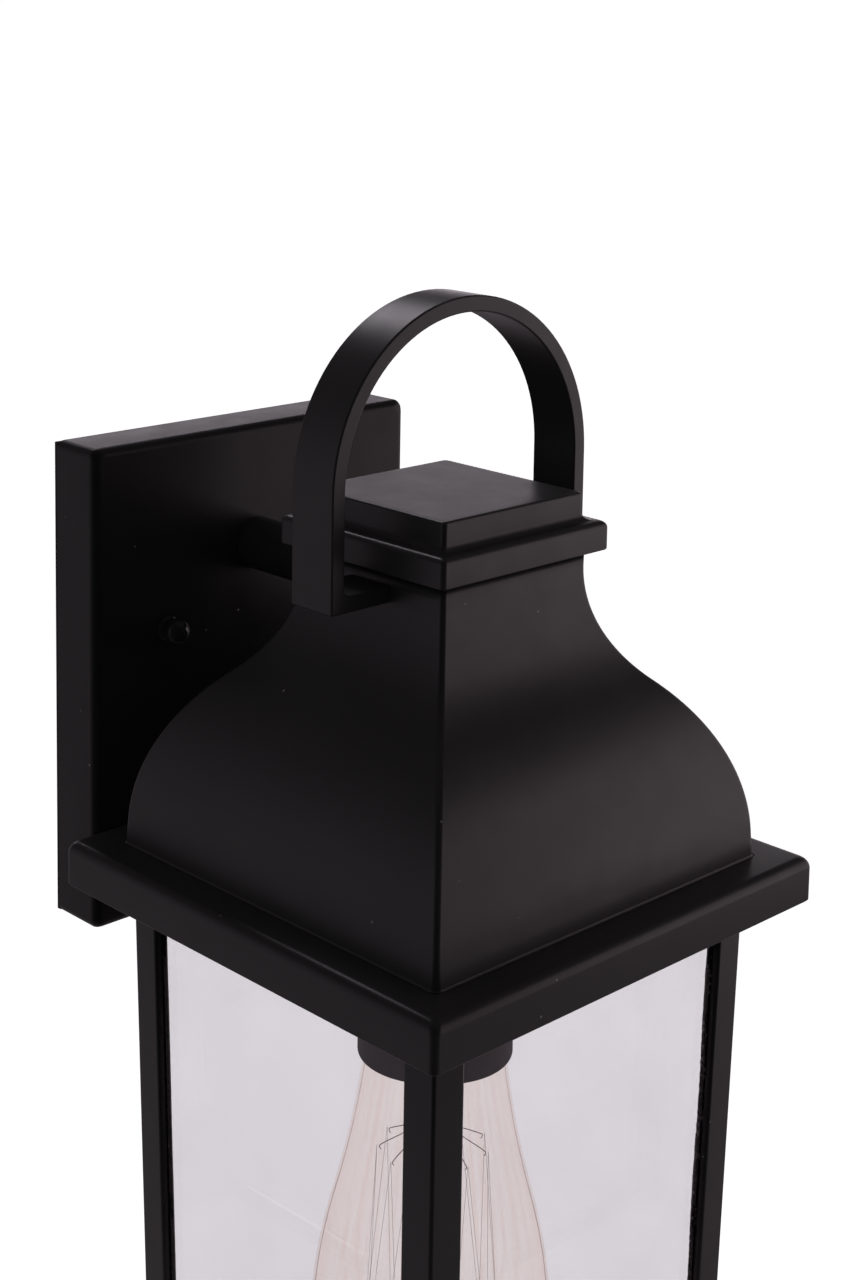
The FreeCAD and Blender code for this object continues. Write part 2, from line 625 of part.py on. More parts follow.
def make_cage():
    low = "(-rim_height-cage_length+band_height)"
    glass_top = "(cage_top-frame_thick)"
    for where, (sx, sy) in CORNERS.items():
        leg = corner_outline(sx, sy, 0, "leg_thick", "leg_width")
        on_axis(tapered(f"post_{where}", leg, "cage_top", low), f"post_{where}")
    beads = []
    for where, (sx, sy) in CORNERS.items():
        bead = corner_outline(sx, sy, "leg_thick", "leg_thick+seal_thick", "leg_width+seal_edge")
        beads.append(tapered(f"bead_{where}", bead, glass_top, low))
    on_axis(group("sealant", *beads), "pane_sealant")

    outer = "leg_thick+seal_thick"
    for where, sign, across in (("front", -1, False), ("back", 1, False),
                                ("left", -1, True), ("right", 1, True)):
        on_axis(tapered(f"pane_{where}", pane_outline(sign, across, outer), glass_top, low),
                f"glass_{where}")

    frame = new_body("frame")
    ring = new_sketch(frame, "XY_Plane", "cage_top")
    add_outline(ring, rectangle("frame_half", "frame_half"))
    add_outline(ring, rectangle("frame_opening/2", "frame_opening/2"))
    for sx in (-1, 1):
        for sy in (-1, 1):
            add_circle(ring, "cage_screw+loose_fit", f"{sx}*screw_place", f"{sy}*screw_place")
    pad(frame, ring, "frame_thick", reverse=True)
    on_axis(frame, "cage_top_frame")
    make_bottom_frame(low)

    screws = []
    for sx in (-1, 1):
        for sy in (-1, 1):
            x, y = f"{sx}*screw_place", f"{sy}*screw_place"
            head = rod("cage_head", "cage_head", "cage_head_height", x, y, f"{glass_top}-cage_head_height")
            shank = rod("cage_shank", "cage_screw", "frame_thick+rim_wall+cage_grip", x, y, glass_top)
            screws.append(fuse("cage_screw", head, shank))
    on_axis(group("cage_screws", *screws), "cage_screws")


def pane_outline(sign, across, outer):
    """Front and back panes run the full width; the side panes stand between them."""
    def outline(z):
        half = half_at(z)
        near, far = f"{half}-({outer})", f"{half}-({outer}+pane_thick)"
        edge = f"{far}-pane_gap" if across else f"{near}-pane_gap"
        corners = [(f"-({edge})", near), (edge, near), (edge, far), (f"-({edge})", far)]
        placed = [(x, f"{sign}*({y})") for x, y in corners]
        return [(y, x) for x, y in placed] if across else placed
    return outline


def make_bottom_frame(low):
    """An angle ring: a lip that the panes stand on, and a band that hangs from it."""
    half = half_at(low)
    band = new_body("band")
    ring = new_sketch(band, "XY_Plane", low)
    add_outline(ring, rectangle(half, half))
    add_outline(ring, rectangle(f"{half}-band_lip", f"{half}-band_lip"))
    pad(band, ring, "band_height", reverse=True)
    under = new_sketch(band, "XY_Plane", f"{low}-leg_thick")
    add_outline(under, rectangle(f"{half}-leg_thick", f"{half}-leg_thick"))
    pocket(band, under, "band_height")
    on_axis(band, "cage_bottom_frame")


# ---------------------------------------------------------------- rod and lampholder

def make_lampholder():
    rod_nuts = [
        hex_nut("lid_nut", "hex_flats", "hex_height", "nipple_radius", 0, 0,
                "roof_top-roof_lid-hex_height"),
        hex_nut("cover_nut", "hex_flats", "hex_height", "nipple_radius", 0, 0, "cover_top"),
        hex_nut("under_nut", "hex_flats", "thin_height", "nipple_radius", 0, 0,
                "cover_top-cover_wall-thin_height"),
        hex_nut("strap_nut", "hex_flats", "hex_height", "nipple_radius", 0, 0,
                "holder_top-hex_height")]
    on_axis(group("rod_nuts", *rod_nuts), "rod_nuts")
    on_axis(sleeve("centre", "nipple_radius", "nipple_bore", "rod_top-rod_bottom", 0, 0,
                   "rod_bottom"), "centre_rod")

    base = "(cover_top-cover_length)"
    cover = rod("cover_outside", "cover_radius", "cover_length", 0, 0, base)
    inside = rod("cover_inside", "cover_radius-cover_wall", "cover_length-cover_wall", 0, 0, base)
    lid = ("3*cover_wall", "cover_top-2*cover_wall")
    entries = [rod("cover_entry", "entry_radius", lid[0], x, "entry_y", lid[1])
               for x in ("-terminal_x", "terminal_x")]
    middle = rod("cover_middle", "nipple_radius+close_fit", lid[0], 0, 0, lid[1])
    on_axis(cut("cover", cover, inside, middle, *entries), "socket_cover")

    strap = block("strap_bar", "strap_length/2", "strap_width/2", "strap_thick", 0, 0, "holder_top")
    holes = [rod("strap_hole", "strap_screw+close_fit", "strap_thick", x, 0, "holder_top")
             for x in ("holder_screw", "-holder_screw")]
    holes.append(rod("strap_middle", "nipple_radius+close_fit", "strap_thick", 0, 0, "holder_top"))
    on_axis(cut("strap", strap, *holes), "socket_strap")

    depth = "(holder_top-holder_bottom)"
    body = rod("holder_outside", "holder_radius", depth, 0, 0, "holder_bottom")
    recess = rod("holder_recess", "holder_recess", "holder_top-rod_bottom+1", 0, 0, "rod_bottom-1")
    cavity = rod("holder_cavity", "screw_shell", "shell_top-holder_bottom", 0, 0, "holder_bottom")
    bores = [rod("holder_bore", "strap_screw", "strap_grip", x, 0, "holder_top-strap_grip")
             for x in ("holder_screw", "-holder_screw")]
    on_axis(cut("holder", body, recess, cavity, *bores), "socket_body")

    screws, tabs = [], []
    for side in (-1, 1):
        x, seat = f"{side}*holder_screw", "(holder_top+strap_thick)"
        shank = rod("strap_shank", "strap_screw", "strap_grip", x, 0, f"{seat}-strap_grip")
        head = rod("strap_cheese", "strap_head", "strap_head_height", x, 0, seat)
        screws.append(fuse("strap_screw", shank, head))
        x = f"{side}*terminal_x"
        strip = block("tab_strip", "terminal_half", "terminal_reach", "terminal_thick",
                      x, "terminal_y", "holder_top")
        head = rod("tab_head", "terminal_head", "1.5*terminal_thick", x, "terminal_y-terminal_head",
                   "holder_top+terminal_thick")
        tabs.append(fuse("tab", strip, head))
    on_axis(group("strap_screws", *screws), "socket_screws")
    on_axis(group("tabs", *tabs), "socket_terminals")

    shell = sleeve("shell", "screw_shell", "screw_shell-shell_wall",
                   "shell_top-holder_bottom-shell_lip", 0, 0, "holder_bottom+shell_lip")
    on_axis(shell, "socket_screw_shell")
    low = "(bulb_contact+close_fit)"
    leaf = block("leaf_strip", "leaf_half", "leaf_width", "leaf_thick", 0, 0, low)
    foot = block("leaf_foot", "leaf_half/5", "leaf_width", f"shell_top-{low}", "1.2*leaf_half", 0, low)
    on_axis(fuse("leaf", leaf, foot), "socket_contact")


# ---------------------------------------------------------------- bulb

def make_bulb():
    top, foot = "(bulb_contact-bulb_button)", "bulb_cap_foot"
    shoulder, rim = f"({top}-bulb_shoulder)", f"({top}-bulb_rim)"
    inner = "(bulb_cap_radius-bulb_cap_wall)"
    points = [(inner, foot), ("bulb_cap_radius", foot), ("bulb_cap_radius", shoulder),
              ("insulator_half+2*bulb_cap_wall", rim), ("insulator_half", rim),
              ("insulator_half", f"{rim}-bulb_cap_wall"), (inner, f"{shoulder}-bulb_cap_wall")]
    on_axis(turned("bulb_shell", points), "bulb_cap")
    ring = [("contact_half", f"{rim}-bulb_cap_wall"), ("insulator_half", f"{rim}-bulb_cap_wall"),
            ("insulator_half", rim), ("0.7*insulator_half", top), ("contact_half", top)]
    on_axis(turned("bulb_ring", ring), "bulb_insulator")
    tip = [(0, f"{top}-bulb_button"), ("contact_half", f"{top}-bulb_button"),
           ("contact_half", f"{top}+0.2*bulb_button"), ("0.6*contact_half", "bulb_contact"),
           (0, "bulb_contact")]
    on_axis(turned("bulb_tip", tip), "bulb_contact")

    wall, sunk = "glass_thick", f"({foot}+glass_sunk)"
    outside = [(inner, sunk), (inner, foot), ("glass_mouth", "glass_mouth_z"),
               ("glass_flank", "glass_flank_z"), ("glass_half", "glass_wide_z"),
               (0, "glass_wide_z-glass_half")]
    inside = [(0, f"glass_wide_z-glass_half+{wall}"), (f"glass_half-{wall}", "glass_wide_z"),
              (f"glass_flank-{wall}", "glass_flank_z"), (f"glass_mouth-{wall}", "glass_mouth_z"),
              (f"{inner}-{wall}", foot), (f"{inner}-{wall}", sunk)]
    arcs = {1: "neck_crown", 2: "-flank_hollow", 3: "flank_crown", 4: "glass_half",
            6: f"-(glass_half-{wall})", 7: f"-(flank_crown-{wall})",
            8: f"(flank_hollow+{wall})", 9: f"-(neck_crown-{wall})"}
    on_axis(turned("envelope", outside + inside, arcs), "bulb_glass")

    stem = [(0, "stem_tip_z"), ("stem_pin", "stem_tip_z"), ("stem_pin", "stem_neck_z"),
            ("2*stem_pin", "stem_swell_z"), ("2.5*stem_pin", "stem_flare_z"),
            (f"{inner}-{wall}", foot), (f"{inner}-{wall}", f"{foot}+stem_lid"), (0, f"{foot}+stem_lid")]
    on_axis(turned("stem", stem), "bulb_stem")
    make_filament()


def make_filament():
    """One wire, zigzagging round the stem between an upper and a lower ring of hooks."""
    hooks, turns = [], []
    for step in range(2 * HAIRPINS):
        level = "upper" if step % 2 else "lower"
        angle = math.pi * step / HAIRPINS
        outward = FreeCAD.Vector(math.cos(angle), math.sin(angle), 0)
        start = FreeCAD.Vector(0, 0, value(f"cage_{level}_z"))
        reach = value(f"cage_{level}_radius")
        hook = Part.makeCylinder(value("hook_wire"), reach - value("stem_pin"),
                                 start + outward * value("stem_pin"), outward)
        hooks.append(hook)
        turns.append(start + outward * (reach + value("1.2*filament_wire")))
    on_axis(made_in_code("hook_wires", Part.makeCompound(hooks)), "bulb_supports")

    pieces = []
    for first, second in zip(turns, turns[1:] + turns[:1]):
        run = second - first
        pieces.append(Part.makeCylinder(value("filament_wire"), run.Length, first, run))
        pieces.append(Part.makeSphere(value("1.15*filament_wire"), first))
    zigzag = pieces[0].multiFuse(pieces[1:])
    assert len(zigzag.Solids) == 1, "the filament is one wire"
    on_axis(made_in_code("filament_wire", zigzag.Solids[0]), "bulb_filament")


# ---------------------------------------------------------------- wiring

def make_wiring():
    """Two leads from the lampholder up to the arm, through its nipple and into the plate's hollow."""
    rise, back = "(arm_rise-rim_level)", "(reach-nipple_end)"
    end_y, end_z = f"({back}+3.6)", f"({rise}+14)"
    for name, side in (("live", -1), ("neutral", 1)):
        x, end_x = f"{side}*lead_spread", f"{side}*connector_x"
        route = [(f"{side}*terminal_x", "entry_y", "holder_top+terminal_thick"),
                 (f"{side}*terminal_x", "entry_y-0.4", 4), (x, 13, 24), (x, 12.6, 46),
                 (x, 14.6, 66), (x, 21, rise), (x, f"{back}-2.1", rise),
                 (f"{side}*3.2", f"{back}+3", f"{rise}+1"), (f"{side}*9", f"{back}+3.9", f"{rise}+3"),
                 (f"{side}*16", f"{back}+3.7", f"{rise}+5.5"),
                 (f"{side}*19.6", end_y, f"{rise}+9"), (end_x, end_y, end_z)]
        on_axis(made_in_code(f"{name}_wire", bent_wire(name, route, value("lead_radius"))),
                f"{name}_lead")
    connectors = []
    for side in (-1, 1):
        cone = doc.addObject("Part::Cone", "connector")
        bind(cone, Radius1="connector_radius", Radius2="connector_tip", Height="connector_length")
        place(cone, f"{side}*connector_x", end_y, end_z)
        connectors.append(cone)
    on_axis(group("connectors", *connectors), "wire_connectors")
    make_earth()


def make_earth():
    """A ring under the arm's rear nut, a bare wire, and a ring under the ground screw's head."""
    plate_y, bar_y = value("reach-plate_depth+plate_wall"), value("reach-bar_thick")
    high, low, across = value("arm_rise-rim_level"), value("-rim_level"), value("ground_x")
    thick = value("earth_ring")
    ring = make_ring("nipple_radius", value("ring_width"), (0, plate_y + thick, high))
    eye = make_ring("ground_radius", value("eye_width"), (across, bar_y, low))
    route = [(4.6, plate_y + thick / 2, high - 4.4), (8, plate_y + 0.6, high - 8.4),
             (12, plate_y + 6, low + 10), (15.8, bar_y - 2.2, low + 6.5),
             (across, bar_y - thick / 2, low + 2.6)]
    earth = bent_wire("earth", route, value("earth_radius")).fuse(ring).fuse(eye)
    on_axis(made_in_code("earth_wire", earth), "earth_lead")


def make_ring(bore, width, spot):
    """A flat ring round a bore, whose back face is at a spot, lying along -Y."""
    way, thick, radius = FreeCAD.Vector(0, -1, 0), value("earth_ring"), value(bore)
    outer = Part.makeCylinder(radius + width, thick, FreeCAD.Vector(*spot), way)
    return outer.cut(Part.makeCylinder(radius, thick, FreeCAD.Vector(*spot), way))


make_mounting()
make_plate()
roof_outside = make_roof()
make_arm(roof_outside)
make_rim()
make_cap()
make_loop(roof_outside)
make_cage()
make_lampholder()
make_bulb()
make_wiring()
doc.recompute()

for thing in doc.Objects:
    assert "Invalid" not in thing.State and "Error" not in thing.State, thing.Label
os.makedirs("parts", exist_ok=True)
for thing in nodes:
    shape = thing.Shape
    assert not shape.isNull() and shape.isValid(), thing.Label
    shape.exportStep(f"parts/{thing.Label}.step")
    box = shape.BoundBox
    print(f"{thing.Label:22s} {len(shape.Solids)} {shape.Volume:10.1f} mm3 "
          f"X {box.XMin:7.1f} {box.XMax:7.1f}  Y {box.YMin:7.1f} {box.YMax:7.1f}  "
          f"Z {box.ZMin:7.1f} {box.ZMax:7.1f}")
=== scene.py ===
"""Looks of the outdoor wall lantern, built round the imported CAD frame, in metres.

Z is up, the wall is at Y = 0 and the lantern hangs out towards -Y.
Lantern pieces are described in millimetres in the lantern's own frame, whose origin is on the
lantern's axis at the top of the rim; `at` turns such a point into the row frame.
"""

import json
import math
import random

import bmesh
import bpy
from mathutils import Matrix, Vector


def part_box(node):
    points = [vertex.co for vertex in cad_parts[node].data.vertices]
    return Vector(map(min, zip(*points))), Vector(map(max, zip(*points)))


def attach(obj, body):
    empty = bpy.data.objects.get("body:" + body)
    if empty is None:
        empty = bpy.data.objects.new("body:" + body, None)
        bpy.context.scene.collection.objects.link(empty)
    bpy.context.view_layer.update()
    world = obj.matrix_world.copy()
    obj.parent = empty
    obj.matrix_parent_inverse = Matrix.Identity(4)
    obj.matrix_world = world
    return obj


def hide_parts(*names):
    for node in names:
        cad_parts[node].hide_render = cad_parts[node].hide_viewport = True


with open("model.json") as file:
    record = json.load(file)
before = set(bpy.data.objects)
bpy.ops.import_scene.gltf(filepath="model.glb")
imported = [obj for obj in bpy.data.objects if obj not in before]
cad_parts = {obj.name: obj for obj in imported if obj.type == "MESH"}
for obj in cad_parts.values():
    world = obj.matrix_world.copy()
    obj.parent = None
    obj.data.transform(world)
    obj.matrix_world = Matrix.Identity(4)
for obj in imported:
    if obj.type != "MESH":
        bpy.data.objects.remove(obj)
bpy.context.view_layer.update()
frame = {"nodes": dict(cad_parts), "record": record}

MM = 0.001
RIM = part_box("roof_rim")
AXIS_Y = (RIM[0].y + RIM[1].y) / 2
RIM_TOP = RIM[1].z
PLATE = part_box("back_plate")

# millimetres, in the lantern's own frame
ARM_Z = 73
NECK_HALF = 28.0
ROOF_TOP = 88.0
STUD_X = 35.0
# the lamp thread that holds the arm and the socket: its radius, bore and nuts' width across flats
LAMP_THREAD = 4.8
LAMP_BORE = 3.4
LAMP_NUT = 14.3
# the E26 screw thread's turn, and the foot of the bulb's cap
E26_TURN = 3.6
CAP_FOOT = -45.6


def at(x, y, z):
    """A point of the lantern's own frame, given in millimetres."""
    return Vector((x * MM, AXIS_Y + y * MM, RIM_TOP + z * MM))


def scaled(node_box):
    """A CAD node's box in millimetres, in the lantern's own frame."""
    low, high = node_box
    move = Vector((0, AXIS_Y, RIM_TOP))
    return (low - move) / MM, (high - move) / MM


# ---------------------------------------------------------------- camera, lights and stage

CAMERA_PLACE = Vector((-0.41203, -0.51374, 0.18867))
CAMERA_YAW = math.radians(-44.321)
CAMERA_PITCH = math.radians(7.443)
CAMERA_ROLL = math.radians(0.946)
CAMERA_LENS = 60.446
CAMERA_SHIFT = -0.2892

# name, place, size, watts and colour of each soft light
LIGHTS = (
    ("key_front_right", (1.2, -0.75, 0.05), (1.1, 1.15), 3.6, (1.0, 0.84, 0.86)),
    ("side_left", (-1.3, 0.35, 0.2), (0.7, 1.2), 0.42, (0.86, 0.91, 1.0)),
    ("back_right", (1.25, 1.3, 0.2), (1.8, 0.36), 3.4, (1.0, 0.91, 0.98)),
    ("back_top", (0.5, 1.05, 1.15), (0.5, 0.5), 2.6, (0.98, 0.92, 1.0)),
)
# well below the lantern, which hangs on a wall
FLOOR_Z = -1.2


def make_camera():
    yaw, pitch, roll = CAMERA_YAW, CAMERA_PITCH, CAMERA_ROLL
    ahead = Vector((-math.sin(yaw) * math.cos(pitch), math.cos(yaw) * math.cos(pitch), -math.sin(pitch)))
    right = Vector((math.cos(yaw), math.sin(yaw), 0))
    up = right.cross(ahead)
    across = right * math.cos(roll) + up * math.sin(roll)
    upward = up * math.cos(roll) - right * math.sin(roll)
    data = bpy.data.cameras.new("camera")
    data.sensor_width = 36
    data.lens = CAMERA_LENS
    data.shift_y = CAMERA_SHIFT
    data.clip_start = 0.01
    camera = bpy.data.objects.new("camera", data)
    bpy.context.scene.collection.objects.link(camera)
    camera.matrix_world = Matrix((
        (across.x, upward.x, -ahead.x, CAMERA_PLACE.x),
        (across.y, upward.y, -ahead.y, CAMERA_PLACE.y),
        (across.z, upward.z, -ahead.z, CAMERA_PLACE.z),
        (0, 0, 0, 1)))
    bpy.context.scene.camera = camera


def soft_light(name, place, size, power, colour, aim):
    """A large soft panel that faces a point."""
    data = bpy.data.lights.new(name, "AREA")
    data.shape = "RECTANGLE"
    data.size, data.size_y = size
    data.energy = power
    data.color = colour
    light = bpy.data.objects.new(name, data)
    bpy.context.scene.collection.objects.link(light)
    light.location = place
    light.rotation_euler = (Vector(aim) - Vector(place)).to_track_quat("-Z", "Y").to_euler()


def map_range(tree, value, low, high, bottom, top):
    """Maps low..high to bottom..top, without going past either."""
    node = tree.nodes.new("ShaderNodeMapRange")
    node.clamp = True
    tree.links.new(value, node.inputs["Value"])
    for name, number in zip(("From Min", "From Max", "To Min", "To Max"), (low, high, bottom, top)):
        node.inputs[name].default_value = number
    return node.outputs["Result"]


def make_world():
    """White where it is seen, also through glass, and a dim room where it lights and is mirrored."""
    world = bpy.data.worlds.new("studio")
    bpy.context.scene.world = world
    world.use_nodes = True
    tree = world.node_tree
    tree.nodes.clear()
    output = tree.nodes.new("ShaderNodeOutputWorld")
    path = tree.nodes.new("ShaderNodeLightPath")
    bounces = tree.nodes.new("ShaderNodeMath")
    bounces.operation = "ADD"
    tree.links.new(path.outputs["Diffuse Depth"], bounces.inputs[0])
    tree.links.new(path.outputs["Glossy Depth"], bounces.inputs[1])
    seen = tree.nodes.new("ShaderNodeMath")
    seen.operation = "LESS_THAN"
    tree.links.new(bounces.outputs[0], seen.inputs[0])
    seen.inputs[1].default_value = 0.5
    white = tree.nodes.new("ShaderNodeBackground")
    white.inputs["Color"].default_value = (1.0, 1.0, 1.0, 1)
    white.inputs["Strength"].default_value = 1.04

    # the room is dimmer overhead than at eye level
    direction = tree.nodes.new("ShaderNodeTexCoord")
    height = tree.nodes.new("ShaderNodeSeparateXYZ")
    tree.links.new(direction.outputs["Generated"], height.inputs[0])
    level = map_range(tree, height.outputs["Z"], -0.05, 0.5, 0.23, 0.06)
    # and it is darkest in the corner in front of the lantern, on its left
    towards = tree.nodes.new("ShaderNodeVectorMath")
    towards.operation = "DOT_PRODUCT"
    tree.links.new(direction.outputs["Generated"], towards.inputs[0])
    towards.inputs[1].default_value = (-0.66, -0.75, 0.0)
    dark_corner = map_range(tree, towards.outputs["Value"], 0.05, 0.75, 1.0, 0.06)
    strength = tree.nodes.new("ShaderNodeMath")
    strength.operation = "MULTIPLY"
    tree.links.new(level, strength.inputs[0])
    tree.links.new(dark_corner, strength.inputs[1])
    room = tree.nodes.new("ShaderNodeBackground")
    room.inputs["Color"].default_value = (0.95, 0.82, 0.91, 1)
    tree.links.new(strength.outputs[0], room.inputs["Strength"])
    mix = tree.nodes.new("ShaderNodeMixShader")
    tree.links.new(seen.outputs[0], mix.inputs["Fac"])
    tree.links.new(room.outputs[0], mix.inputs[1])
    tree.links.new(white.outputs[0], mix.inputs[2])
    tree.links.new(mix.outputs[0], output.inputs["Surface"])


def make_stage():
    bpy.context.scene.view_settings.view_transform = "Standard"
    make_world()
    middle = at(0, 0, 20)
    for light in LIGHTS:
        soft_light(*light, middle)

    bpy.ops.mesh.primitive_plane_add(size=12, location=(0, 0, FLOOR_Z))
    floor = bpy.context.object
    floor.name = "floor"
    material = bpy.data.materials.new("floor_white")
    material.use_nodes = True
    shader = material.node_tree.nodes["Principled BSDF"]
    shader.inputs["Base Color"].default_value = (0.9, 0.9, 0.9, 1)
    shader.inputs["Roughness"].default_value = 0.9
    shader.inputs["Emission Color"].default_value = (1, 1, 1, 1)
    shader.inputs["Emission Strength"].default_value = 0.95
    floor.data.materials.append(material)
    # the floor is seen, but it neither lights nor shades the lantern, nor shows in its faces or panes
    floor.visible_diffuse = False
    floor.visible_glossy = False
    floor.visible_transmission = False
    floor.visible_shadow = False


# ---------------------------------------------------------------- materials

class Shader:
    """A material with a Principled shader and small helpers to add texture nodes to it."""

    def __init__(self, name):
        self.material = bpy.data.materials.new(name)
        self.material.use_nodes = True
        self.tree = self.material.node_tree
        self.main = self.tree.nodes["Principled BSDF"]
        self.place = self.tree.nodes.new("ShaderNodeTexCoord").outputs["Object"]

    def set(self, **values):
        for name, value in values.items():
            self.main.inputs[name.replace("_", " ")].default_value = value
        return self

    def node(self, kind, **inputs):
        node = self.tree.nodes.new(kind)
        for name, value in inputs.items():
            socket = node.inputs[name.replace("_", " ")]
            if isinstance(value, bpy.types.NodeSocket):
                self.tree.links.new(value, socket)
            else:
                socket.default_value = value
        return node

    def noise(self, scale, detail=3.0, roughness=0.5, stretch=None):
        place = self.place
        if stretch:
            place = self.node("ShaderNodeMapping", Vector=place, Scale=stretch).outputs[0]
        node = self.node("ShaderNodeTexNoise", Vector=place, Scale=scale, Detail=detail,
                         Roughness=roughness)
        return node.outputs["Fac"]

    def spots(self, scale, size):
        """1 in small round spots, one in each cell of a given scale, and 0 elsewhere."""
        cells = self.node("ShaderNodeTexVoronoi", Vector=self.place, Scale=scale)
        return self.ramp(cells.outputs["Distance"], size, size * 0.5)

    def ramp(self, value, low, high, bottom=0.0, top=1.0):
        return map_range(self.tree, value, low, high, bottom, top)

    def multiply(self, first, second):
        node = self.tree.nodes.new("ShaderNodeMath")
        node.operation = "MULTIPLY"
        self.tree.links.new(first, node.inputs[0])
        self.tree.links.new(second, node.inputs[1])
        return node.outputs[0]

    def mix(self, factor, first, second):
        """A colour between two, each a colour or another mix."""
        node = self.tree.nodes.new("ShaderNodeMix")
        node.data_type = "RGBA"
        self.tree.links.new(factor, node.inputs[0])
        for socket, colour in ((node.inputs[6], first), (node.inputs[7], second)):
            if isinstance(colour, bpy.types.NodeSocket):
                self.tree.links.new(colour, socket)
            else:
                socket.default_value = (*colour, 1)
        return node.outputs[2]

    def colour(self, socket):
        self.tree.links.new(socket, self.main.inputs["Base Color"])

    def rough(self, socket):
        self.tree.links.new(socket, self.main.inputs["Roughness"])

    def bump(self, *layers):
        """Layers of (height socket, depth in millimetres)."""
        normal = None
        for height, depth in layers:
            node = self.node("ShaderNodeBump", Height=height, Distance=depth * MM, Strength=1.0)
            if normal:
                self.tree.links.new(normal, node.inputs["Normal"])
            normal = node.outputs["Normal"]
        self.tree.links.new(normal, self.main.inputs["Normal"])


def powder_coat(name="powder_coat", tone=(0.0038, 0.0033, 0.0037), shine=0.35, mirror=0.5):
    """Satin black powder coat: fine grain, faint orange peel, thin dust and slight cloudiness."""
    shader = Shader(name).set(Specular_IOR_Level=mirror)
    clouds = shader.noise(26, 4, 0.6)
    grain = shader.noise(1500, 2, 0.6)
    peel = shader.noise(260, 2, 0.5)
    worn = tuple(channel * 1.55 for channel in tone)
    base = shader.mix(shader.ramp(clouds, 0.35, 0.7), tone, worn)
    dust = shader.multiply(shader.spots(120, 0.048), shader.ramp(shader.noise(31, 1), 0.50, 0.56))
    shader.colour(shader.mix(dust, base, (0.42, 0.40, 0.40)))
    shader.rough(shader.ramp(shader.noise(90, 3, 0.6), 0.25, 0.75, shine - 0.035, shine + 0.045))
    shader.bump((peel, 0.016), (grain, 0.010))
    return shader.material


def plated_steel(name, tone=(0.62, 0.61, 0.58), shine=0.34):
    shader = Shader(name).set(Metallic=1.0)
    blotches = shader.noise(140, 4, 0.65)
    lines = shader.noise(900, 2, 0.5, stretch=(1.0, 1.0, 14.0))
    dull = tuple(channel * 0.72 for channel in tone)
    shader.colour(shader.mix(shader.ramp(blotches, 0.3, 0.7), tone, dull))
    shader.rough(shader.ramp(blotches, 0.3, 0.7, shine - 0.06, shine + 0.12))
    shader.bump((lines, 0.006))
    return shader.material


def moulded(name, tone, shine, grain=700, depth=0.01):
    """Plastic, rubber or porcelain with a fine surface texture."""
    shader = Shader(name)
    patches = shader.noise(120, 3, 0.5)
    deeper = tuple(channel * 0.8 for channel in tone)
    shader.colour(shader.mix(shader.ramp(patches, 0.3, 0.75), tone, deeper))
    shader.rough(shader.ramp(patches, 0.3, 0.7, shine - 0.04, shine + 0.05))
    shader.bump((shader.noise(grain, 2, 0.5), depth))
    return shader.material


def clear(name, tone, ior=1.5, smears=0.03, waves=0.0):
    """Clear glass with a faint film on it."""
    shader = Shader(name).set(Transmission_Weight=1.0, IOR=ior)
    film = shader.noise(38, 4, 0.6)
    paler = tuple(min(channel * 1.03, 1) for channel in tone)
    shader.colour(shader.mix(shader.ramp(film, 0.35, 0.65), tone, paler))
    shader.rough(shader.ramp(film, 0.45, 0.8, 0.0, smears))
    if waves:
        shader.bump((shader.noise(14, 1, 0.4), waves))
    return shader.material


def amber(name, tone, ior):
    """Thin tinted glass with faint upright streaks, browner where it is seen edge-on."""
    shader = Shader(name).set(Transmission_Weight=1.0, IOR=ior, Roughness=0.0)
    centred = shader.node("ShaderNodeMapping", Vector=shader.place, Location=(0, -AXIS_Y, 0))
    turn = shader.node("ShaderNodeTexGradient", Vector=centred.outputs[0])
    turn.gradient_type = "RADIAL"
    streaks = shader.node("ShaderNodeTexNoise", Scale=70.0, Detail=3.0)
    streaks.noise_dimensions = "1D"
    shader.tree.links.new(turn.outputs["Fac"], streaks.inputs["W"])
    deeper = tuple(channel ** 2.2 for channel in tone)
    shader.colour(shader.mix(shader.ramp(streaks.outputs["Fac"], 0.45, 0.68), tone, deeper))
    depth = shader.node("ShaderNodeVolumeAbsorption", Color=(0.88, 0.68, 0.60, 1), Density=28.0)
    output = shader.tree.nodes["Material Output"]
    shader.tree.links.new(depth.outputs[0], output.inputs["Volume"])
    return shader.material


def silicone():
    """A dark glossy bead, with crowds of small white bubbles on the right-hand side of the lantern."""
    shader = Shader("silicone").set(IOR=1.41)
    bubbles = shader.node("ShaderNodeTexVoronoi", Vector=shader.place, Scale=620.0).outputs["Distance"]
    froth = shader.ramp(shader.noise(150, 3, 0.7), 0.46, 0.55)
    across = shader.node("ShaderNodeSeparateXYZ", Vector=shader.place).outputs["X"]
    froth = shader.multiply(froth, shader.ramp(across, 0.0, 0.01))
    white = shader.multiply(froth, shader.ramp(bubbles, 0.55, 0.32))
    shader.colour(shader.mix(white, (0.014, 0.013, 0.013), (0.85, 0.84, 0.85)))
    shader.rough(shader.ramp(bubbles, 0.1, 0.6, 0.12, 0.35))
    shader.bump((bubbles, 0.25), (shader.noise(330, 2), 0.12))
    return shader.material


# ---------------------------------------------------------------- mesh tools

def mesh(name, points, faces, material, bevel=0.0):
    """A mesh piece from points in metres. bevel rounds its sharp edges, in millimetres."""
    data = bpy.data.meshes.new(name)
    data.from_pydata([tuple(p) for p in points], [], faces)
    face_outwards(data)
    piece = bpy.data.objects.new(name, data)
    bpy.context.scene.collection.objects.link(piece)
    data.materials.append(material)
    data.polygons.foreach_set("use_smooth", [True] * len(data.polygons))
    if bevel:
        rounding = piece.modifiers.new("rounded_edges", "BEVEL")
        rounding.width = bevel * MM
        rounding.segments = 3
        rounding.limit_method = "ANGLE"
        rounding.angle_limit = math.radians(38)
    weigh(piece)
    return piece


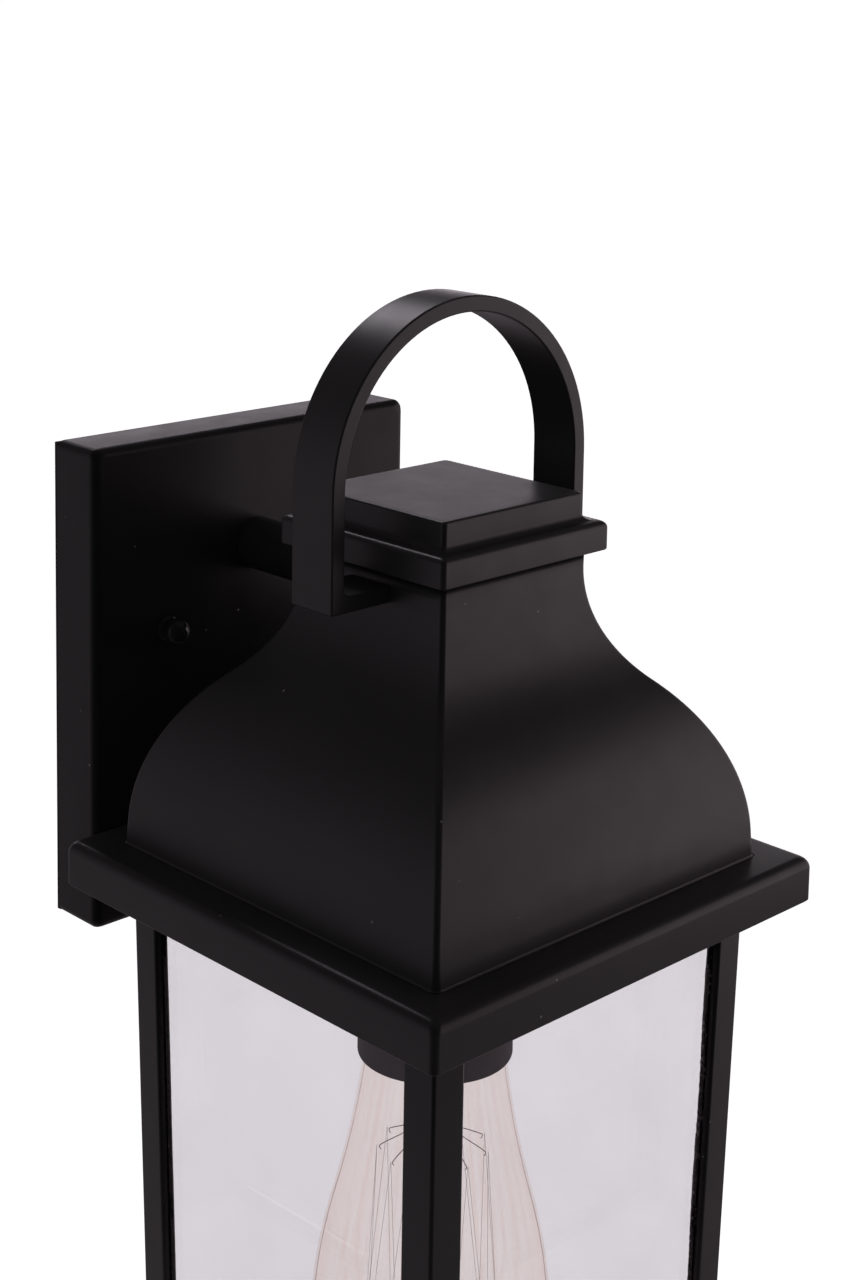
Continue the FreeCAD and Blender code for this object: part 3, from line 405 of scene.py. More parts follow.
def face_outwards(data):
    work = bmesh.new()
    work.from_mesh(data)
    bmesh.ops.recalc_face_normals(work, faces=work.faces)
    work.to_mesh(data)
    work.free()


def weigh(piece):
    weighted = piece.modifiers.new("flat_faces_stay_flat", "WEIGHTED_NORMAL")
    weighted.keep_sharp = True
    weighted.weight = 80


def loft(name, rings, material, ends=True, around=False, bevel=0.0):
    """Skin over rings of equal length. around joins the last ring to the first."""
    count = len(rings[0])
    points = [p for ring in rings for p in ring]
    faces = []
    last = len(rings) if around else len(rings) - 1
    for row in range(last):
        below, above = row * count, ((row + 1) % len(rings)) * count
        for i in range(count):
            j = (i + 1) % count
            faces.append((below + i, below + j, above + j, above + i))
    if ends and not around:
        faces.append(tuple(reversed(range(count))))
        faces.append(tuple(range((len(rings) - 1) * count, len(rings) * count)))
    return mesh(name, points, faces, material, bevel)


def rounded_rectangle(half_x, half_y, radius, steps):
    """Points anticlockwise round a rectangle whose corners are arcs."""
    radius = max(min(radius, half_x, half_y), 0.001)
    points = []
    for quarter, (sx, sy) in enumerate(((1, 1), (-1, 1), (-1, -1), (1, -1))):
        for step in range(steps + 1):
            angle = (quarter + step / steps) * math.pi / 2
            points.append((sx * (half_x - radius) + radius * math.cos(angle),
                           sy * (half_y - radius) + radius * math.sin(angle)))
    return points


def arc(start, end, radius, left, steps):
    """Points after start, up to end, on an arc that bulges to the left or right of the way."""
    start, end = Vector(start), Vector(end)
    chord = end - start
    normal = Vector((-chord.y, chord.x)).normalized() * (1 if left else -1)
    centre = (start + end) / 2 - normal * math.sqrt(max(radius ** 2 - (chord.length / 2) ** 2, 0))
    first = math.atan2(start.y - centre.y, start.x - centre.x)
    turn = math.atan2(end.y - centre.y, end.x - centre.x) - first
    turn = (turn + math.pi) % (2 * math.pi) - math.pi
    angles = [first + turn * (i + 1) / steps for i in range(steps)]
    return [(centre.x + radius * math.cos(a), centre.y + radius * math.sin(a)) for a in angles]


def rounded_polygon(corners, radius, steps=4):
    """A polygon whose corners are rounded, given anticlockwise. radius is one or one each."""
    radii = radius if isinstance(radius, (list, tuple)) else [radius] * len(corners)
    points = []
    for i, corner in enumerate(corners):
        before, after = Vector(corners[i - 1]), Vector(corners[(i + 1) % len(corners)])
        corner = Vector(corner)
        inward, outward = (before - corner).normalized(), (after - corner).normalized()
        half = inward.angle(outward) / 2
        run = radii[i] / math.tan(half)
        centre = corner + (inward + outward).normalized() * (radii[i] / math.sin(half))
        first, last = corner + inward * run - centre, corner + outward * run - centre
        for step in range(steps + 1):
            share = step / steps
            spoke = first.slerp(last, share) if first.length > 0 else first
            points.append(tuple(centre + spoke))
    return points


def arc_rows(corner, *way):
    """The points of an arc as rows of a section, all with one corner radius."""
    return [(half, height, corner) for half, height in arc(*way)]


def square_sweep(name, section, material, closed=True, steps=5):
    """A section of (half width, height, corner radius) taken round a square."""
    rings = [[at(x, y, height) for x, y in rounded_rectangle(half, half, corner, steps)]
             for half, height, corner in section]
    return loft(name, rings, material, ends=not closed, around=closed)


def stand(place, way, x, y, height):
    """A point drawn along Z in millimetres, set at a place and turned to point another way."""
    turns = {"Z": (x, y, height), "-Z": (x, y, -height), "-Y": (x, -height, y),
             "X": (height, x, y), "-X": (-height, x, y)}
    return place + Vector(turns[way]) * MM


def turned(name, profile, material, steps=96, closed=True, place=None, way="Z", bevel=0.0):
    """A profile of (radius, height) turned about a line; the lantern's axis unless a place is given."""
    place = place or at(0, 0, 0)
    rings = [circle(place, way, height, radius, steps=steps) for radius, height in profile]
    return loft(name, rings, material, ends=not closed, around=closed, bevel=bevel)


def circle(place, way, height, radius, flats=None, steps=48):
    """A ring of points, cut to a hexagon of the given width where the circle is outside it."""
    ring = []
    for i in range(steps):
        angle = 2 * math.pi * i / steps
        reach = max(radius, 0.01)
        if flats:
            reach = min(reach, flats / 2 / math.cos(angle % (math.pi / 3) - math.pi / 6))
        ring.append(stand(place, way, reach * math.cos(angle), reach * math.sin(angle), height))
    return ring


def thread_rows(radius, low, high, pitch=1.0, depth=0.3):
    """The outline of a thread between two heights, as (radius, height)."""
    count = max(int((high - low) / pitch), 1)
    pitch = (high - low) / count
    rows = [(radius - depth, low)]
    for turn in range(count):
        start = low + turn * pitch
        rows += [(radius, start + 0.35 * pitch), (radius, start + 0.5 * pitch),
                 (radius - depth, start + 0.85 * pitch)]
    return rows + [(radius - depth, high)]


def threaded_rod(name, radius, length, material, place, way="Z", bore=0.0):
    """A threaded rod, or a threaded tube where a bore is given."""
    lead, end_radius = 0.4, radius - 0.55
    rows = [(end_radius, 0.0)] + thread_rows(radius, lead, length - lead) + [(end_radius, length)]
    if bore:
        rows = [(bore, 0.0)] + rows + [(bore, length)]
    return turned(name, rows, material, 40, closed=bool(bore), place=place, way=way)


def hex_nut(name, flats, height, bore, material, place, way="Z"):
    """A hexagon nut with chamfered corners and a countersunk bore."""
    corner, lead = flats / math.sqrt(3), 0.45
    rings = [circle(place, way, 0, bore + lead), circle(place, way, 0, flats / 2 - 0.15, flats),
             circle(place, way, lead, corner, flats), circle(place, way, height - lead, corner, flats),
             circle(place, way, height, flats / 2 - 0.15, flats), circle(place, way, height, bore + lead),
             circle(place, way, height - lead, bore), circle(place, way, lead, bore)]
    return loft(name, rings, material, around=True, bevel=0.08)


def screw(name, head, head_height, shank, grip, material, place, way="Z"):
    """A pan head with a hexagon socket, on a threaded shank that points the other way."""
    rows = [(shank * 0.7, -grip)] + thread_rows(shank, 0.4 - grip, -0.2, 0.8, 0.22) + [(shank, 0)]
    rows += [(head - 0.15, 0), (head, 0.15), (head, head_height * 0.5), (head * 0.93, head_height * 0.8),
             (head * 0.75, head_height)]
    rings = [circle(place, way, height, radius) for radius, height in rows]
    socket = head * 0.8
    for radius, height in ((socket, head_height), (socket, head_height * 0.4), (0.2, head_height * 0.35)):
        rings.append(circle(place, way, height, radius, socket))
    return loft(name, rings, material)


def strung(name, routes, radius, material, cyclic=False):
    """Round wires along smooth routes of points in metres, as one piece."""
    curve = bpy.data.curves.new(name, "CURVE")
    curve.dimensions = "3D"
    curve.bevel_depth = radius * MM
    curve.bevel_resolution = 3
    curve.use_fill_caps = True
    curve.resolution_u = 6
    for route in routes:
        spline = curve.splines.new("NURBS")
        spline.points.add(len(route) - 1)
        for point, place in zip(spline.points, route):
            point.co = (*place, 1)
        spline.use_cyclic_u = cyclic
        spline.order_u = 3
        spline.use_endpoint_u = not cyclic
    holder = bpy.data.objects.new(name + "_line", curve)
    bpy.context.scene.collection.objects.link(holder)
    bpy.context.view_layer.update()
    data = bpy.data.meshes.new_from_object(holder)
    bpy.data.objects.remove(holder)
    piece = bpy.data.objects.new(name, data)
    bpy.context.scene.collection.objects.link(piece)
    data.materials.clear()
    data.materials.append(material)
    data.polygons.foreach_set("use_smooth", [True] * len(data.polygons))
    return piece


def finish_piece(piece, body, slot, *nodes):
    """Rides a piece on a body; its slot is not used. It stands in for the CAD nodes given."""
    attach(piece, body)
    if nodes:
        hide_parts(*nodes)


# ---------------------------------------------------------------- roof, rim, cap and loop

def roof_side(inset=0.0):
    """The S-shaped side of the roof, from its foot up to the top of its neck."""
    wall = [(62.8 - inset, 7.6)]
    wall += arc(wall[-1], (42.2 - 0.67 * inset, 50.8 - 0.74 * inset), 63.5 - inset, left=False, steps=26)
    wall += arc(wall[-1], (NECK_HALF - inset, 83.1), 43.8 + inset, left=True, steps=22)
    return wall


def make_roof(black):
    wall = 2.2
    outside = [(64.0, 0.0, 2.4), (63.6, 0.15, 2.2), (63.3, 0.6, 2.0)]
    outside += [(half, z, 1.5) for half, z in roof_side()] + [(NECK_HALF, ROOF_TOP, 1.3)]
    inside = [(half, z, 0.8) for half, z in reversed(roof_side(wall))]
    ceiling = ROOF_TOP - 3.0
    top = [(6.0, ROOF_TOP, 5.9), (5.1, ROOF_TOP, 5.0), (5.1, ceiling, 5.0), (25.8, ceiling, 0.8)]
    section = outside + top + inside + [(61.0, 0.0, 0.8)]
    roof = square_sweep("roof", section, black, steps=6)
    finish_piece(roof, "root", "black_powder", "roof_shell")
    boss_place = at(0, NECK_HALF - wall - 2, ARM_Z)
    boss = turned("arm_boss", [(5.0, 0), (9.0, 0), (9.0, -2.4), (5.0, -2.4)], black, 48,
                  place=boss_place, way="-Y", bevel=0.4)
    finish_piece(boss, "root", "black_powder")


def make_rim(black):
    width, height, wall, fillet = 75.0, 13.0, 2.5, 3.0
    section = [(width - wall, -height, 0.6), (width - 0.5, -height, 1.6), (width, -height + 0.5, 2.0),
               (width, -fillet, 2.0)]
    section += arc_rows(2.2, (width, -fillet), (width - fillet, 0), fillet, False, 6)
    section += [(66.0, 0, 2.0), (45.3, 0, 0.6), (45.0, -0.3, 0.6), (45.0, -wall, 0.6),
                (width - wall - 1, -wall, 0.6), (width - wall, -wall - 1, 0.6)]
    rim = square_sweep("rim", section, black, steps=6)
    finish_piece(rim, "root", "black_powder", "roof_rim")


def make_cap(black):
    ledge, top = 96.2, 104.2
    section = [(27.5, ROOF_TOP + 0.3, 0.6), (32.1, ROOF_TOP, 1.1), (32.45, ROOF_TOP + 0.35, 1.4),
               (32.45, ledge - 1.9, 1.4)]
    section += arc_rows(1.4, (32.45, ledge - 1.9), (30.55, ledge), 1.9, False, 5)
    section += [(29.6, ledge, 1.2)]
    section += arc_rows(1.2, (29.6, ledge), (27.2, ledge + 2.3), 2.35, True, 5)
    section += [(27.2, top - 0.8, 1.3)]
    section += arc_rows(1.2, (27.2, top - 0.8), (26.4, top), 0.8, False, 4)
    section += [(24.0, top, 1.0), (12.0, top, 0.8), (0.4, top, 0.2)]
    cap = square_sweep("cap", section, black, closed=False, steps=6)
    finish_piece(cap, "root", "black_powder", "roof_cap")


def make_loop(black):
    """The flat bar: straight legs with turned-in feet, and a half circle over the cap."""
    half, thick, width, foot, arch = 49.0, 4.6, 16.2, 78.8, 110.3
    inner = half - thick
    outline = [(NECK_HALF, foot), (half - 0.9, foot)]
    outline += arc((half - 0.9, foot), (half, foot + 0.9), 0.9, False, 4)
    outline += [(half, arch)] + arc((half, arch), (0, arch + half), half, False, 28)
    outline += arc((0, arch + half), (-half, arch), half, False, 28)
    outline += [(-half, foot + 0.9)] + arc((-half, foot + 0.9), (0.9 - half, foot), 0.9, False, 4)
    outline += [(-NECK_HALF, foot), (-NECK_HALF, foot + thick), (2.2 - inner, foot + thick)]
    outline += arc((2.2 - inner, foot + thick), (-inner, foot + thick + 2.2), 2.2, True, 5)
    outline += [(-inner, arch)] + arc((-inner, arch), (0, arch + inner), inner, True, 28)
    outline += arc((0, arch + inner), (inner, arch), inner, True, 28)
    outline += [(inner, foot + thick + 2.2)]
    outline += arc((inner, foot + thick + 2.2), (inner - 2.2, foot + thick), 2.2, True, 5)
    outline += [(NECK_HALF, foot + thick)]
    rings = [[at(x, y, z) for x, z in outline] for y in (-width / 2, width / 2)]
    loop = loft("loop", rings, black, bevel=0.55)
    finish_piece(loop, "root", "black_powder", "loop_handle")


# ---------------------------------------------------------------- arm, plate and ball nuts

def make_plate(black):
    centre = Vector(((PLATE[0].x + PLATE[1].x) / 2, 0, (PLATE[0].z + PLATE[1].z) / 2))
    half_x, half_z = (PLATE[1].x - PLATE[0].x) / 2 / MM, (PLATE[1].z - PLATE[0].z) / 2 / MM
    front, back, wall, fillet = -PLATE[0].y / MM, -PLATE[1].y / MM, 2.2, 2.6
    rows = [(wall, back, 0.5), (0.35, back, 2.4), (0, back + 0.35, 2.6), (0, front - fillet, 2.6)]
    for step in range(1, 7):
        angle = math.pi / 12 * step
        rows.append((fillet * (1 - math.cos(angle)), front - fillet * (1 - math.sin(angle)), 2.8))
    rows += [(12.0, front, 2.0), (40.0, front, 2.0)]
    inner = [(40.0, front - wall, 2.0), (wall, front - wall, 0.6)]
    rings = []
    for inset, depth, corner in rows + inner:
        ring = rounded_rectangle(half_x - inset, half_z - inset, corner, 6)
        rings.append([centre + Vector((x, 0, z)) * MM + Vector((0, -depth * MM, 0)) for x, z in ring])
    # the front is closed across its middle, inside and out
    plate = loft("plate", rings[:len(rows)], black, ends=False)
    lining = loft("plate_lining", [rings[0]] + list(reversed(rings[len(rows):])), black, ends=False)
    for piece, ring in ((plate, rings[len(rows) - 1]), (lining, rings[len(rows)])):
        close_ring(piece, ring)
    return plate, lining


def close_ring(piece, ring):
    """Fills the hole whose rim is a ring of the piece's own points."""
    work = bmesh.new()
    work.from_mesh(piece.data)
    work.verts.ensure_lookup_table()
    rim = [min(work.verts, key=lambda v: (v.co - point).length) for point in ring]
    work.faces.new(rim).smooth = True
    bmesh.ops.recalc_face_normals(work, faces=work.faces)
    work.to_mesh(piece.data)
    work.free()


def make_arm(black):
    end = scaled(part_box("arm_tube"))[1].y
    place = at(0, end, ARM_Z)
    length = end - 27.6
    profile = [(6.5, 0), (7.7, 0), (8.0, 0.3), (8.0, length - 0.4), (8.4, length - 0.1), (8.4, length),
               (6.5, length)]
    arm = turned("arm", profile, black, 72, place=place, way="-Y")
    finish_piece(arm, "root", "black_powder", "arm_tube")


def make_ball_nuts(black):
    for side in ("left", "right"):
        low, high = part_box(f"ball_nut_{side}")
        place = Vector(((low.x + high.x) / 2, high.y, (low.z + high.z) / 2))
        ball, flange, neck = 4.0, 3.9, 3.1
        centre = 4.6
        rows = [(2.2, 0.0), (flange - 0.2, 0.0), (flange, 0.2), (flange, 0.7), (flange - 0.2, 0.9),
                (neck, 0.95)]
        start = math.asin(neck / ball)
        for step in range(21):
            angle = start + (math.pi - start) * step / 20
            rows.append((ball * math.sin(angle), centre - ball * math.cos(angle)))
        rows += [(0.01, 6.8), (2.2, 6.8)]
        nut = turned(f"nut_{side}", rows, black, 48, place=place, way="-Y")
        finish_piece(nut, f"ball_nut_{side}", "nut_black", f"ball_nut_{side}")


# ---------------------------------------------------------------- cage and panes

CAGE_HALF = 61.44
CAGE_TOP = -2.5
CAGE_FOOT = -183.0
TAPER = 0.018
LEG = 9.8
SHEET = 1.6


def half_at(z):
    """Half of the cage's width at a height: it narrows downwards."""
    return CAGE_HALF - TAPER * (CAGE_TOP - z)


def corner_points(sx, sy, z, steps, radius):
    """An L in one corner at a height, turned so that the points run anticlockwise."""
    half = half_at(z)
    shape = [(half - a, half - b) for a, b in steps]
    points = rounded_polygon(shape, radius)
    points = [at(sx * x, sy * y, z) for x, y in points]
    return points if sx * sy > 0 else list(reversed(points))


def make_posts(black):
    steps = [(0, 0), (LEG, 0), (LEG, SHEET), (SHEET, SHEET), (SHEET, LEG), (0, LEG)]
    radii = [0.9, 0.35, 0.35, 0.5, 0.35, 0.35]
    for where, (sx, sy) in {"front_left": (-1, -1), "front_right": (1, -1),
                            "rear_left": (-1, 1), "rear_right": (1, 1)}.items():
        heights = (CAGE_FOOT, CAGE_FOOT / 2, CAGE_TOP)
        rings = [corner_points(sx, sy, z, steps, radii) for z in heights]
        post = loft(f"cage_{where}_post", rings, black)
        finish_piece(post, "root", "black_powder", f"post_{where}")


def make_panes(glass):
    near, thick = SHEET + 0.6, 2.4
    for where, sign, across in (("front", -1, False), ("back", 1, False), ("left", -1, True),
                                ("right", 1, True)):
        rings = []
        for z in (CAGE_FOOT + 0.02, CAGE_TOP - 3.0):
            half = half_at(z)
            edge = half - near - (thick + 0.4 if across else 0.4)
            ring = rounded_polygon([(-edge, half - near - thick), (edge, half - near - thick),
                                    (edge, half - near), (-edge, half - near)], 0.25, 2)
            points = [(x, sign * y) for x, y in ring]
            points = [(y, x) for x, y in points] if across else points
            rings.append([at(x, y, z) for x, y in points])
        pane = loft(f"pane_{where}", rings, glass, bevel=0.25)
        finish_piece(pane, "root", "clear_glass", f"glass_{where}")


def make_sealant(rubber):
    """A squeezed-out bead along both edges of each post, neat on the left and rough on the right."""
    random.seed(11)
    rows = 150
    pieces = []
    for sx in (-1, 1):
        for sy in (-1, 1):
            for along_x in (True, False):
                rings = []
                rough = 1.0 if sx > 0 else 0.2
                for row in range(rows + 1):
                    z = CAGE_FOOT + 1 + (CAGE_TOP - 3.2 - CAGE_FOOT - 1) * row / rows
                    half = half_at(z)
                    wander = 0.2 * random.random() + 0.15 * math.sin(row * 0.13 + sx + 2 * sy)
                    out = half - LEG - 0.15 - rough * wander
                    deep = half - SHEET - 0.3
                    swell = 0.42 + 0.16 * random.random()
                    ring = []
                    for step in range(8):
                        angle = 2 * math.pi * step / 8
                        a, b = out + 0.95 * math.cos(angle), deep + swell * 0.6 * math.sin(angle)
                        x, y = (sx * a, sy * b) if along_x else (sx * b, sy * a)
                        ring.append(at(x, y, z))
                    rings.append(ring)
                pieces.append(loft(f"bead_{len(pieces)}", rings, rubber))
    bead = join(pieces, "sealant_beads")
    finish_piece(bead, "root", "silicone", "pane_sealant")


def join(pieces, name):
    bpy.ops.object.select_all(action="DESELECT")
    for piece in pieces:
        piece.select_set(True)
    bpy.context.view_layer.objects.active = pieces[0]
    bpy.ops.object.join()
    pieces[0].name = name
    return pieces[0]


def make_frames(black):
    top = CAGE_TOP
    section = [(59.4, top, 1.0), (59.7, top - 0.3, 1.0), (59.7, top - 2.7, 1.0), (59.4, top - 3, 1.0),
               (46.3, top - 3, 0.5), (46.0, top - 2.7, 0.5), (46.0, top - 0.3, 0.5), (46.3, top, 0.5)]
    upper = square_sweep("upper_frame", section, black)
    finish_piece(upper, "root", "black_powder", "cage_top_frame")
    foot, half = CAGE_FOOT, half_at(CAGE_FOOT)
    section = [(half - 8, foot, 0.5), (half - 0.6, foot, 1.0), (half, foot - 0.5, 1.2),
               (half, foot - 9.4, 1.2), (half - 0.5, foot - 10, 1.0), (half - 1.2, foot - 10, 0.7),
               (half - 1.6, foot - 9.6, 0.5),
               (half - 1.6, foot - 1.9, 0.5), (half - 1.9, foot - 1.6, 0.5), (half - 8, foot - 1.6, 0.5)]
    lower = square_sweep("lower_frame", list(reversed(section)), black)
    finish_piece(lower, "root", "black_powder", "cage_bottom_frame")


# ---------------------------------------------------------------- lampholder and bulb

def make_cover(brown):
    top, foot, radius = -6.0, -59.4, 20.8
    profile = [(5.2, top), (radius - 1.6, top)]
    profile += arc((radius - 1.6, top), (radius, top - 1.6), 1.6, True, 6)
    profile += [(radius, foot + 0.5), (radius - 0.15, foot + 0.1), (radius - 0.5, foot),
                (radius - 1, foot + 0.3), (radius - 1, top - 1.8), (radius - 1.8, top - 1), (5.2, top - 1)]
    cover = turned("cover", profile, brown, 112)
    finish_piece(cover, "root", "cover_black", "socket_cover")


def bulb_side(inset):
    """The side of the bulb's glass from its neck down to its tip."""
    points = [(12.8 - inset, -42.6), (12.8 - inset, CAP_FOOT)]
    points += arc(points[-1], (18.9 - inset, -60), 26 - inset, True, 10)
    points += arc(points[-1], (27.9 - inset, -105), 290 + inset, False, 18)
    points += arc(points[-1], (33.3 - inset, -137), 165 - inset, True, 14)
    points += arc(points[-1], (0, -170.3 + inset), 33.3 - inset, True, 26)
    return points


def e26_thread(start, stop, valley, flank, crest):
    """The round rolled thread from one height up to another, as (radius, height)."""
    rows, height = [], start
    while height < stop:
        for share, radius in ((0.0, valley), (0.25, flank), (0.5, crest), (0.75, flank)):
            rows.append((radius, height + share * E26_TURN))
        height += E26_TURN
    return rows


def make_bulb(glass, brass, black_glass, solder, stem_glass, wire, carbon):
    outside = bulb_side(0)
    envelope = turned("envelope", outside + list(reversed(bulb_side(0.8))), glass, 128)
    finish_piece(envelope, "bulb", "amber_glass", "bulb_glass")

    foot, shoulder, rim = CAP_FOOT, -25.4, -22.8
    profile = [(12.8, foot), (13.0, foot + 0.2)]
    profile += e26_thread(foot + 1.2, shoulder - 1.5, 12.1, 12.6, 13.1)
    profile += [(12.1, shoulder - 0.6), (11.6, shoulder + 0.4), (7.6, rim), (6.4, rim), (6.4, rim - 0.3),
                (11.0, shoulder), (11.6, shoulder - 1), (11.6, foot + 1), (12.4, foot)]
    cap = turned("screw_cap", profile, brass, 96)
    finish_piece(cap, "bulb", "brass_plain", "bulb_cap")

    stem = turned("stem", [(0.01, -149), (0.9, -148.6), (1.3, -147.6), (1.3, -78), (1.9, -76), (2.6, -74),
                           (3.0, -70), (3.25, -64), (4.2, -58), (6.8, -51), (9.6, -47), (11.9, -45.2),
                           (11.9, -44.6), (8.6, -45.8), (5.4, -50.6), (0.01, -52)],
                  stem_glass, 64, closed=False)
    finish_piece(stem, "bulb", "stem_glass", "bulb_stem")

    hooks, zigzag = [], []
    count = 9
    for step in range(2 * count):
        upper = step % 2
        angle = math.pi * step / count
        z, reach = (-88, 14.5) if upper else (-146, 18.0)
        outward = Vector((math.cos(angle), math.sin(angle)))
        slope = 6.0 if upper else 0.0
        spots = ((1.2, -slope), (reach * 0.5, 0.25 - slope * 0.55), (reach - 0.9, 0.1), (reach - 0.1, 0.9),
                 (reach - 0.9, 1.7))
        bend = -1 if upper else 1
        hooks.append([at(outward.x * r, outward.y * r, z + bend * up) for r, up in spots])
        zigzag.append(at(outward.x * (reach + 0.3), outward.y * (reach + 0.3), z))
    supports = strung("support_hooks", hooks, 0.12, wire)
    finish_piece(supports, "bulb", "support_wire", "bulb_supports")
    route = []
    for first, second in zip(zigzag, zigzag[1:] + zigzag[:1]):
        run = second - first
        route += [first, first + run * 0.02, first + run * 0.5, first + run * 0.98]
    filament = strung("filament_wire", [route], 0.042, carbon, cyclic=True)
    finish_piece(filament, "bulb", "filament", "bulb_filament")

    ring = turned("insulator_ring", [(2.5, -23.1), (6.4, -23.1), (6.4, -22.8), (5.6, -22.0), (4.5, -21.4),
                                     (2.5, -21.4)], black_glass, 64)
    finish_piece(ring, "bulb", "bulb_black", "bulb_insulator")
    button = turned("solder_button", [(0.01, -22.6), (2.5, -22.6), (2.5, -21.2), (2.2, -20.7), (1.4, -20.3),
                                      (0.01, -20.2)], solder, 48, closed=False)
    finish_piece(button, "bulb", "solder", "bulb_contact")


# ---------------------------------------------------------------- fasteners, rods and lampholder

def make_fasteners(zinc, green):
    stud_radius = 2.08
    studs, lock_nuts = [], []
    for x in (-STUD_X, STUD_X):
        studs.append(threaded_rod("stud", stud_radius, 26.4, zinc, Vector((x, 0, 0)) * MM, "-Y"))
        lock_nuts.append(hex_nut("lock_nut", 8.7, 3.2, stud_radius, zinc, Vector((x, -2, 0)) * MM, "-Y"))
    finish_piece(join(studs, "studs"), "root", "zinc_steel", "mounting_studs")
    finish_piece(join(lock_nuts, "lock_nuts"), "root", "zinc_steel", "stud_lock_nuts")

    arm_nuts = [hex_nut("arm_nut", LAMP_NUT, height, LAMP_THREAD, zinc, at(0, y, ARM_Z), "-Y")
                for y, height in ((87.4, 4.0), (23.8, 3.0))]
    finish_piece(join(arm_nuts, "arm_nut_pair"), "root", "zinc_steel", "arm_nuts")
    nipple = threaded_rod("nipple", LAMP_THREAD, 71.6, zinc, at(0, 91.1, ARM_Z), "-Y", LAMP_BORE)
    finish_piece(nipple, "root", "zinc_steel", "arm_nipple")

    rod_nuts = [hex_nut("rod_nut", LAMP_NUT, height, LAMP_THREAD, zinc, at(0, 0, z))
                for z, height in ((81.0, 4.0), (-6.0, 4.0), (-10.0, 3.0), (-15.2, 4.0))]
    finish_piece(join(rod_nuts, "rod_nut_set"), "root", "zinc_steel", "rod_nuts")
    rod = threaded_rod("rod", LAMP_THREAD, 113.8, zinc, at(0, 0, -15.8), "Z", LAMP_BORE)
    finish_piece(rod, "root", "zinc_steel", "centre_rod")

    cage_screws = [screw("cage_screw", 3.6, 2.4, 2.0, 12.5, zinc, at(x, y, -5.5), "-Z")
                   for x in (-51, 51) for y in (-51, 51)]
    finish_piece(join(cage_screws, "cage_screw_set"), "root", "zinc_steel", "cage_screws")
    loop_screws = [screw("loop_screw", 2.8, 2.0, 1.5, 9.0, zinc, at(x, 0, 81.1), way)
                   for x, way in ((25.8, "-X"), (-25.8, "X"))]
    finish_piece(join(loop_screws, "loop_screw_pair"), "root", "zinc_steel", "loop_screws")
    strap_screws = [screw("strap_screw", 2.8, 1.7, 1.5, 7.0, zinc, at(x, 0, -10)) for x in (-12.6, 12.6)]
    finish_piece(join(strap_screws, "strap_screw_pair"), "root", "zinc_steel", "socket_screws")

    place = Vector((16, -3.4, 0)) * MM
    rings = [circle(place, "-Y", height, radius)
             for radius, height in [(1.6, -3.4)] + thread_rows(2.0, -3.2, -0.1, 0.8, 0.2)]
    rings += [circle(place, "-Y", 0, 4.1, 7.0), circle(place, "-Y", 2.1, 4.1, 7.0),
              circle(place, "-Y", 2.6, 3.4, 7.0)]
    ground = loft("ground", rings, green, bevel=0.08)
    finish_piece(ground, "root", "ground_green", "ground_screw")


def make_lampholder(porcelain, brass):
    """The porcelain body, and its rolled screw shell."""
    top, foot, radius = -11.2, -46.0, 17.3
    profile = [(0.01, -16.8), (8.4, -16.8), (8.8, -16.4), (8.8, top - 0.4), (9.2, top), (radius - 1, top),
               (radius - 0.3, top - 0.3), (radius, top - 1), (radius, -20), (radius - 0.5, -20.5),
               (radius - 0.5, -22.5), (radius, -23), (radius, foot + 0.8), (radius - 0.8, foot),
               (14.6, foot), (14.0, foot + 0.6), (14.0, -18.8), (13.6, -18.4), (0.01, -18.4)]
    body = turned("porcelain_body", profile, porcelain, 96, closed=False)
    finish_piece(body, "root", "holder_white", "socket_body")
    outside = [(13.95, foot + 0.4)] + e26_thread(foot + 1.2, -23, 13.65, 13.8, 13.98) + [(13.9, -18.4)]
    inside = [(r - 0.35, z) for r, z in reversed(outside)]
    shell = turned("rolled_shell", outside + inside, brass, 96)
    finish_piece(shell, "root", "brass_plain", "socket_screw_shell")


def make_connectors(orange):
    """Two fluted cones over the ends of the leads."""
    # height, radius and depth of the flutes
    rows = ((0, 3.6, 0.0), (0, 4.05, 0.0), (0.4, 4.2, 0.0), (2.4, 4.1, 0.0), (3.4, 3.95, 0.22),
            (13.6, 2.75, 0.22), (14.6, 2.6, 0.05), (15, 2.2, 0.0))
    cones = []
    for x in (-20, 20):
        rings = []
        for height, radius, flute in rows:
            ring = []
            for i in range(96):
                angle = 2 * math.pi * i / 96
                reach = radius - flute * (1 + math.cos(12 * angle))
                ring.append(at(x + reach * math.cos(angle), 94.7 + reach * math.sin(angle), 87 + height))
            rings.append(ring)
        cones.append(loft("cone", rings, orange))
    finish_piece(join(cones, "connector_pair"), "root", "connector_orange", "wire_connectors")


# ---------------------------------------------------------------- assembly

def dress_cad_nodes(materials):
    """Gives the hardware that stays as CAD its materials."""
    for item in frame["record"]["subparts"]:
        name, slot = item["node"], item["material_slot"]
        piece = frame["nodes"].get(name)
        if piece is None or piece.hide_render:
            continue
        material = materials[slot]
        piece.data.materials.clear()
        piece.data.materials.append(material)


